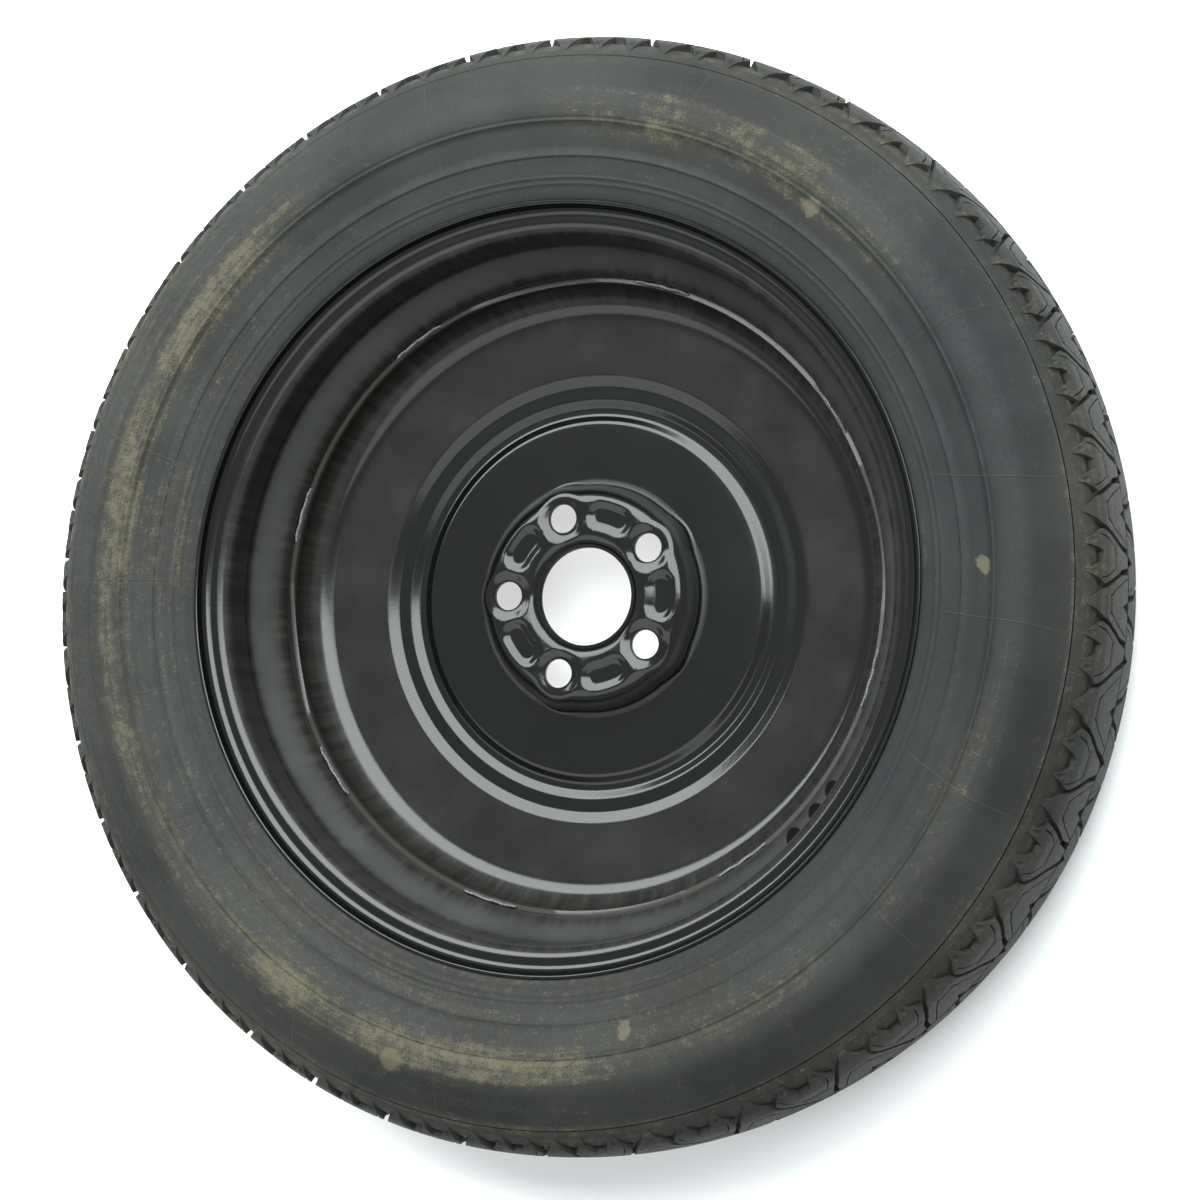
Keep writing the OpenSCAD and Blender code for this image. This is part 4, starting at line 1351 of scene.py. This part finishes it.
    def build(self, rubber: bpy.types.Material) -> list[bpy.types.Object]:
        """Makes the tyre's sidewalls and its tread.

        Args:
            rubber: The tyre's finish.

        Returns:
            The two pieces.
        """
        surfaces = [self.sidewall(Side.INBOARD), self.sidewall(Side.OUTBOARD), self.lining()]
        walls = mesh_object("tyre_sidewalls", *joined(surfaces), sharp_degrees=50)
        tread = Tread(self.sizes)
        tread.lay_out()
        plan, faces = tread.plan()
        wrapped = tread.wrap(plan, tread.sunk(plan), self.outer_profile())
        blocks = mesh_object("tyre_tread", wrapped, faces, sharp_degrees=30)
        made = []
        for piece in (walls, blocks):
            piece.data.materials.append(rubber)
            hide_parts("tyre")
            made.append(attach(piece, "wheel"))
            log.info("%s: %d faces", piece.name, len(piece.data.polygons))
        return made


@dataclass(frozen=True)
class SoftBox:
    """One large soft box that hangs over the wheel and faces straight down."""

    name: str
    middle: tuple
    width: float
    length: float
    glow: float
    colour: tuple = (1.0, 1.0, 1.0)


@dataclass
class Studio:
    """Camera, floor and soft lights."""

    boxes: tuple = (
        SoftBox("key_box", (0.6, 1.71, 2.4), 2.2, 2.98, 15.5, (0.93, 0.99, 1.0)),
        SoftBox("key_wing", (-1.5, 1.975, 2.4), 2.0, 2.45, 15.5, (0.93, 0.99, 1.0)),
        SoftBox("low_box", (-0.7, -1.3, 2.4), 3.2, 1.8, 3.0, (0.95, 0.99, 1.0)),
    )
    camera_at: tuple = (0.7165, -0.1572, 1.8987)
    right: tuple = (0.934006, 0.029938, -0.356)
    up: tuple = (0.0, 0.99648, 0.0838)
    back: tuple = (0.357257, -0.07827, 0.93072)
    lens: float = 90.0
    fill: float = 0.3
    floor_half: float = 6.0
    floor_colour: tuple = (0.8, 0.8, 0.8)
    floor_glow: float = 0.08
    # Painted light: the floor glows brighter under the hub, within these radii, to lift the wheel's shadow
    # seen through its holes.
    painted_light_in_holes: float = 0.62
    floor_glow_far: float = 1.0
    painted_light_radii: tuple = (0.12, 0.20)
    far_off: tuple = (0.75, 1.5)

    def camera(self) -> None:
        """Makes the camera at the photograph's viewing angle."""
        data = bpy.data.cameras.new("camera")
        data.lens = self.lens
        data.sensor_width = 36.0
        data.sensor_fit = "HORIZONTAL"
        obj = linked("camera", data)
        turn = Matrix((self.right, self.up, self.back)).transposed().to_4x4()
        obj.matrix_world = Matrix.Translation(self.camera_at) @ turn
        bpy.context.scene.camera = obj

    def lamp(self, box: SoftBox) -> None:
        """Adds one soft box.

        Args:
            box: Where it hangs, its size and its light.
        """
        data = bpy.data.lights.new(box.name, "AREA")
        data.shape = "RECTANGLE"
        data.size, data.size_y = box.width, box.length
        data.energy = box.glow * math.pi * box.width * box.length
        data.color = box.colour
        linked(box.name, data).location = box.middle

    def seen(self, tree: bpy.types.NodeTree) -> Socket:
        """Adds the share of rays that see the background: camera, glossy and transmission rays."""
        path = tree.nodes.new("ShaderNodeLightPath")
        total = path.outputs["Is Camera Ray"]
        for name in ("Is Glossy Ray", "Is Transmission Ray"):
            node = tree.nodes.new("ShaderNodeMath")
            node.operation = "MAXIMUM"
            tree.links.new(total, node.inputs[0])
            tree.links.new(path.outputs[name], node.inputs[1])
            total = node.outputs[0]
        return total

    def world(self) -> None:
        """Makes a white background over a dimmer soft fill."""
        world = bpy.data.worlds.new("studio")
        bpy.context.scene.world = world
        world.use_nodes = True
        tree = world.node_tree
        background = tree.nodes["Background"]
        background.inputs[0].default_value = (0.97, 0.99, 1.0, 1)
        node = tree.nodes.new("ShaderNodeMapRange")
        tree.links.new(self.seen(tree), node.inputs[0])
        node.inputs[3].default_value = self.fill
        node.inputs[4].default_value = 1.0
        tree.links.new(node.outputs[0], background.inputs[1])

    def floor(self) -> None:
        """Makes the pale floor, which keeps the wheel's shadow, but for a painted light patch under the hub
        that lifts the shadow seen through the bore and bolt holes.
        """
        half = self.floor_half
        mesh = bpy.data.meshes.new("floor")
        corners = [(-half, -half, 0), (half, -half, 0), (half, half, 0), (-half, half, 0)]
        mesh.from_pydata(corners, [], [(0, 1, 2, 3)])
        n = Nodes("floor")
        n.set(Base_Color=self.floor_colour, Roughness=0.9)
        # Painted light: a glowing patch under the hub, which lifts the wheel's shadow seen through the bore
        # and the bolt holes.
        under = n.ramp(n.radius, *self.painted_light_radii, self.painted_light_in_holes, self.floor_glow, kind="LINEAR")
        far = n.ramp(n.radius, *self.far_off, self.floor_glow, self.floor_glow_far, kind="LINEAR")
        mix = n.tree.nodes.new("ShaderNodeMixShader")
        glow = n.tree.nodes.new("ShaderNodeEmission")
        glow.inputs[0].default_value = (1, 1, 1, 1)
        n.put(mix.inputs[0], n.times(self.seen(n.tree), n.most(under, far)))
        n.put(mix.inputs[1], n.shader.outputs[0])
        n.put(mix.inputs[2], glow.outputs[0])
        n.put(n.tree.nodes["Material Output"].inputs[0], mix.outputs[0])
        mesh.materials.append(n.material)
        linked("floor", mesh)

    def build(self) -> None:
        """Makes the whole studio."""
        self.camera()
        for box in self.boxes:
            self.lamp(box)
        self.world()
        self.floor()
        bpy.context.scene.view_settings.view_transform = "Standard"


@dataclass
class Valve:
    """The snap-in valve's pieces, which keep the shapes of their solids."""

    nodes: dict

    def build(self) -> None:
        """Dresses each piece in its finish."""
        brass = TurnedMetal("valve_brass", (0.62, 0.45, 0.20)).build()
        steel = TurnedMetal("pin_steel", (0.55, 0.55, 0.53), Polish.DRAWN).build()
        rubber = Moulded("valve_rubber", (0.018, 0.018, 0.018), 0.65).build()
        red = Moulded("seal_red", (0.33, 0.045, 0.035), 0.55).build()
        plastic = Moulded("cap_plastic", (0.02, 0.02, 0.021), 0.42).build()
        finishes = {
            "valve_body": rubber, "valve_stem": brass, "core_barrel": brass, "core_seal": red,
            "valve_pin": steel, "pin_cup": brass, "pin_seal": rubber, "valve_spring": steel,
            "valve_cap": plastic, "cap_seal": rubber,
        }
        for name, finish in finishes.items():
            mesh = self.nodes[name].data
            mesh.materials.clear()
            mesh.materials.append(finish)
            log.info("%s dressed in %s", name, finish.name)


def main() -> None:
    """Builds the wheel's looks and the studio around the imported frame."""
    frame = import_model()
    Studio().build()
    sizes = WheelSizes()
    disc = Disc(sizes)
    Rim(sizes).build(GlossPaint("rim_paint", stamp_degrees=(-44.2, -38.8, -34.2)).build())
    log.info("rim built")
    disc.build(GlossPaint("disc_paint", film=0.5).build())
    log.info("disc built")
    Welds(disc).build(WeldSteel().build())
    log.info("welds built")
    Tyre(sizes).build(TyreRubber().build())
    Valve(frame["nodes"]).build()


if __name__ == "__main__":
    logging.basicConfig(level=logging.INFO)
    main()
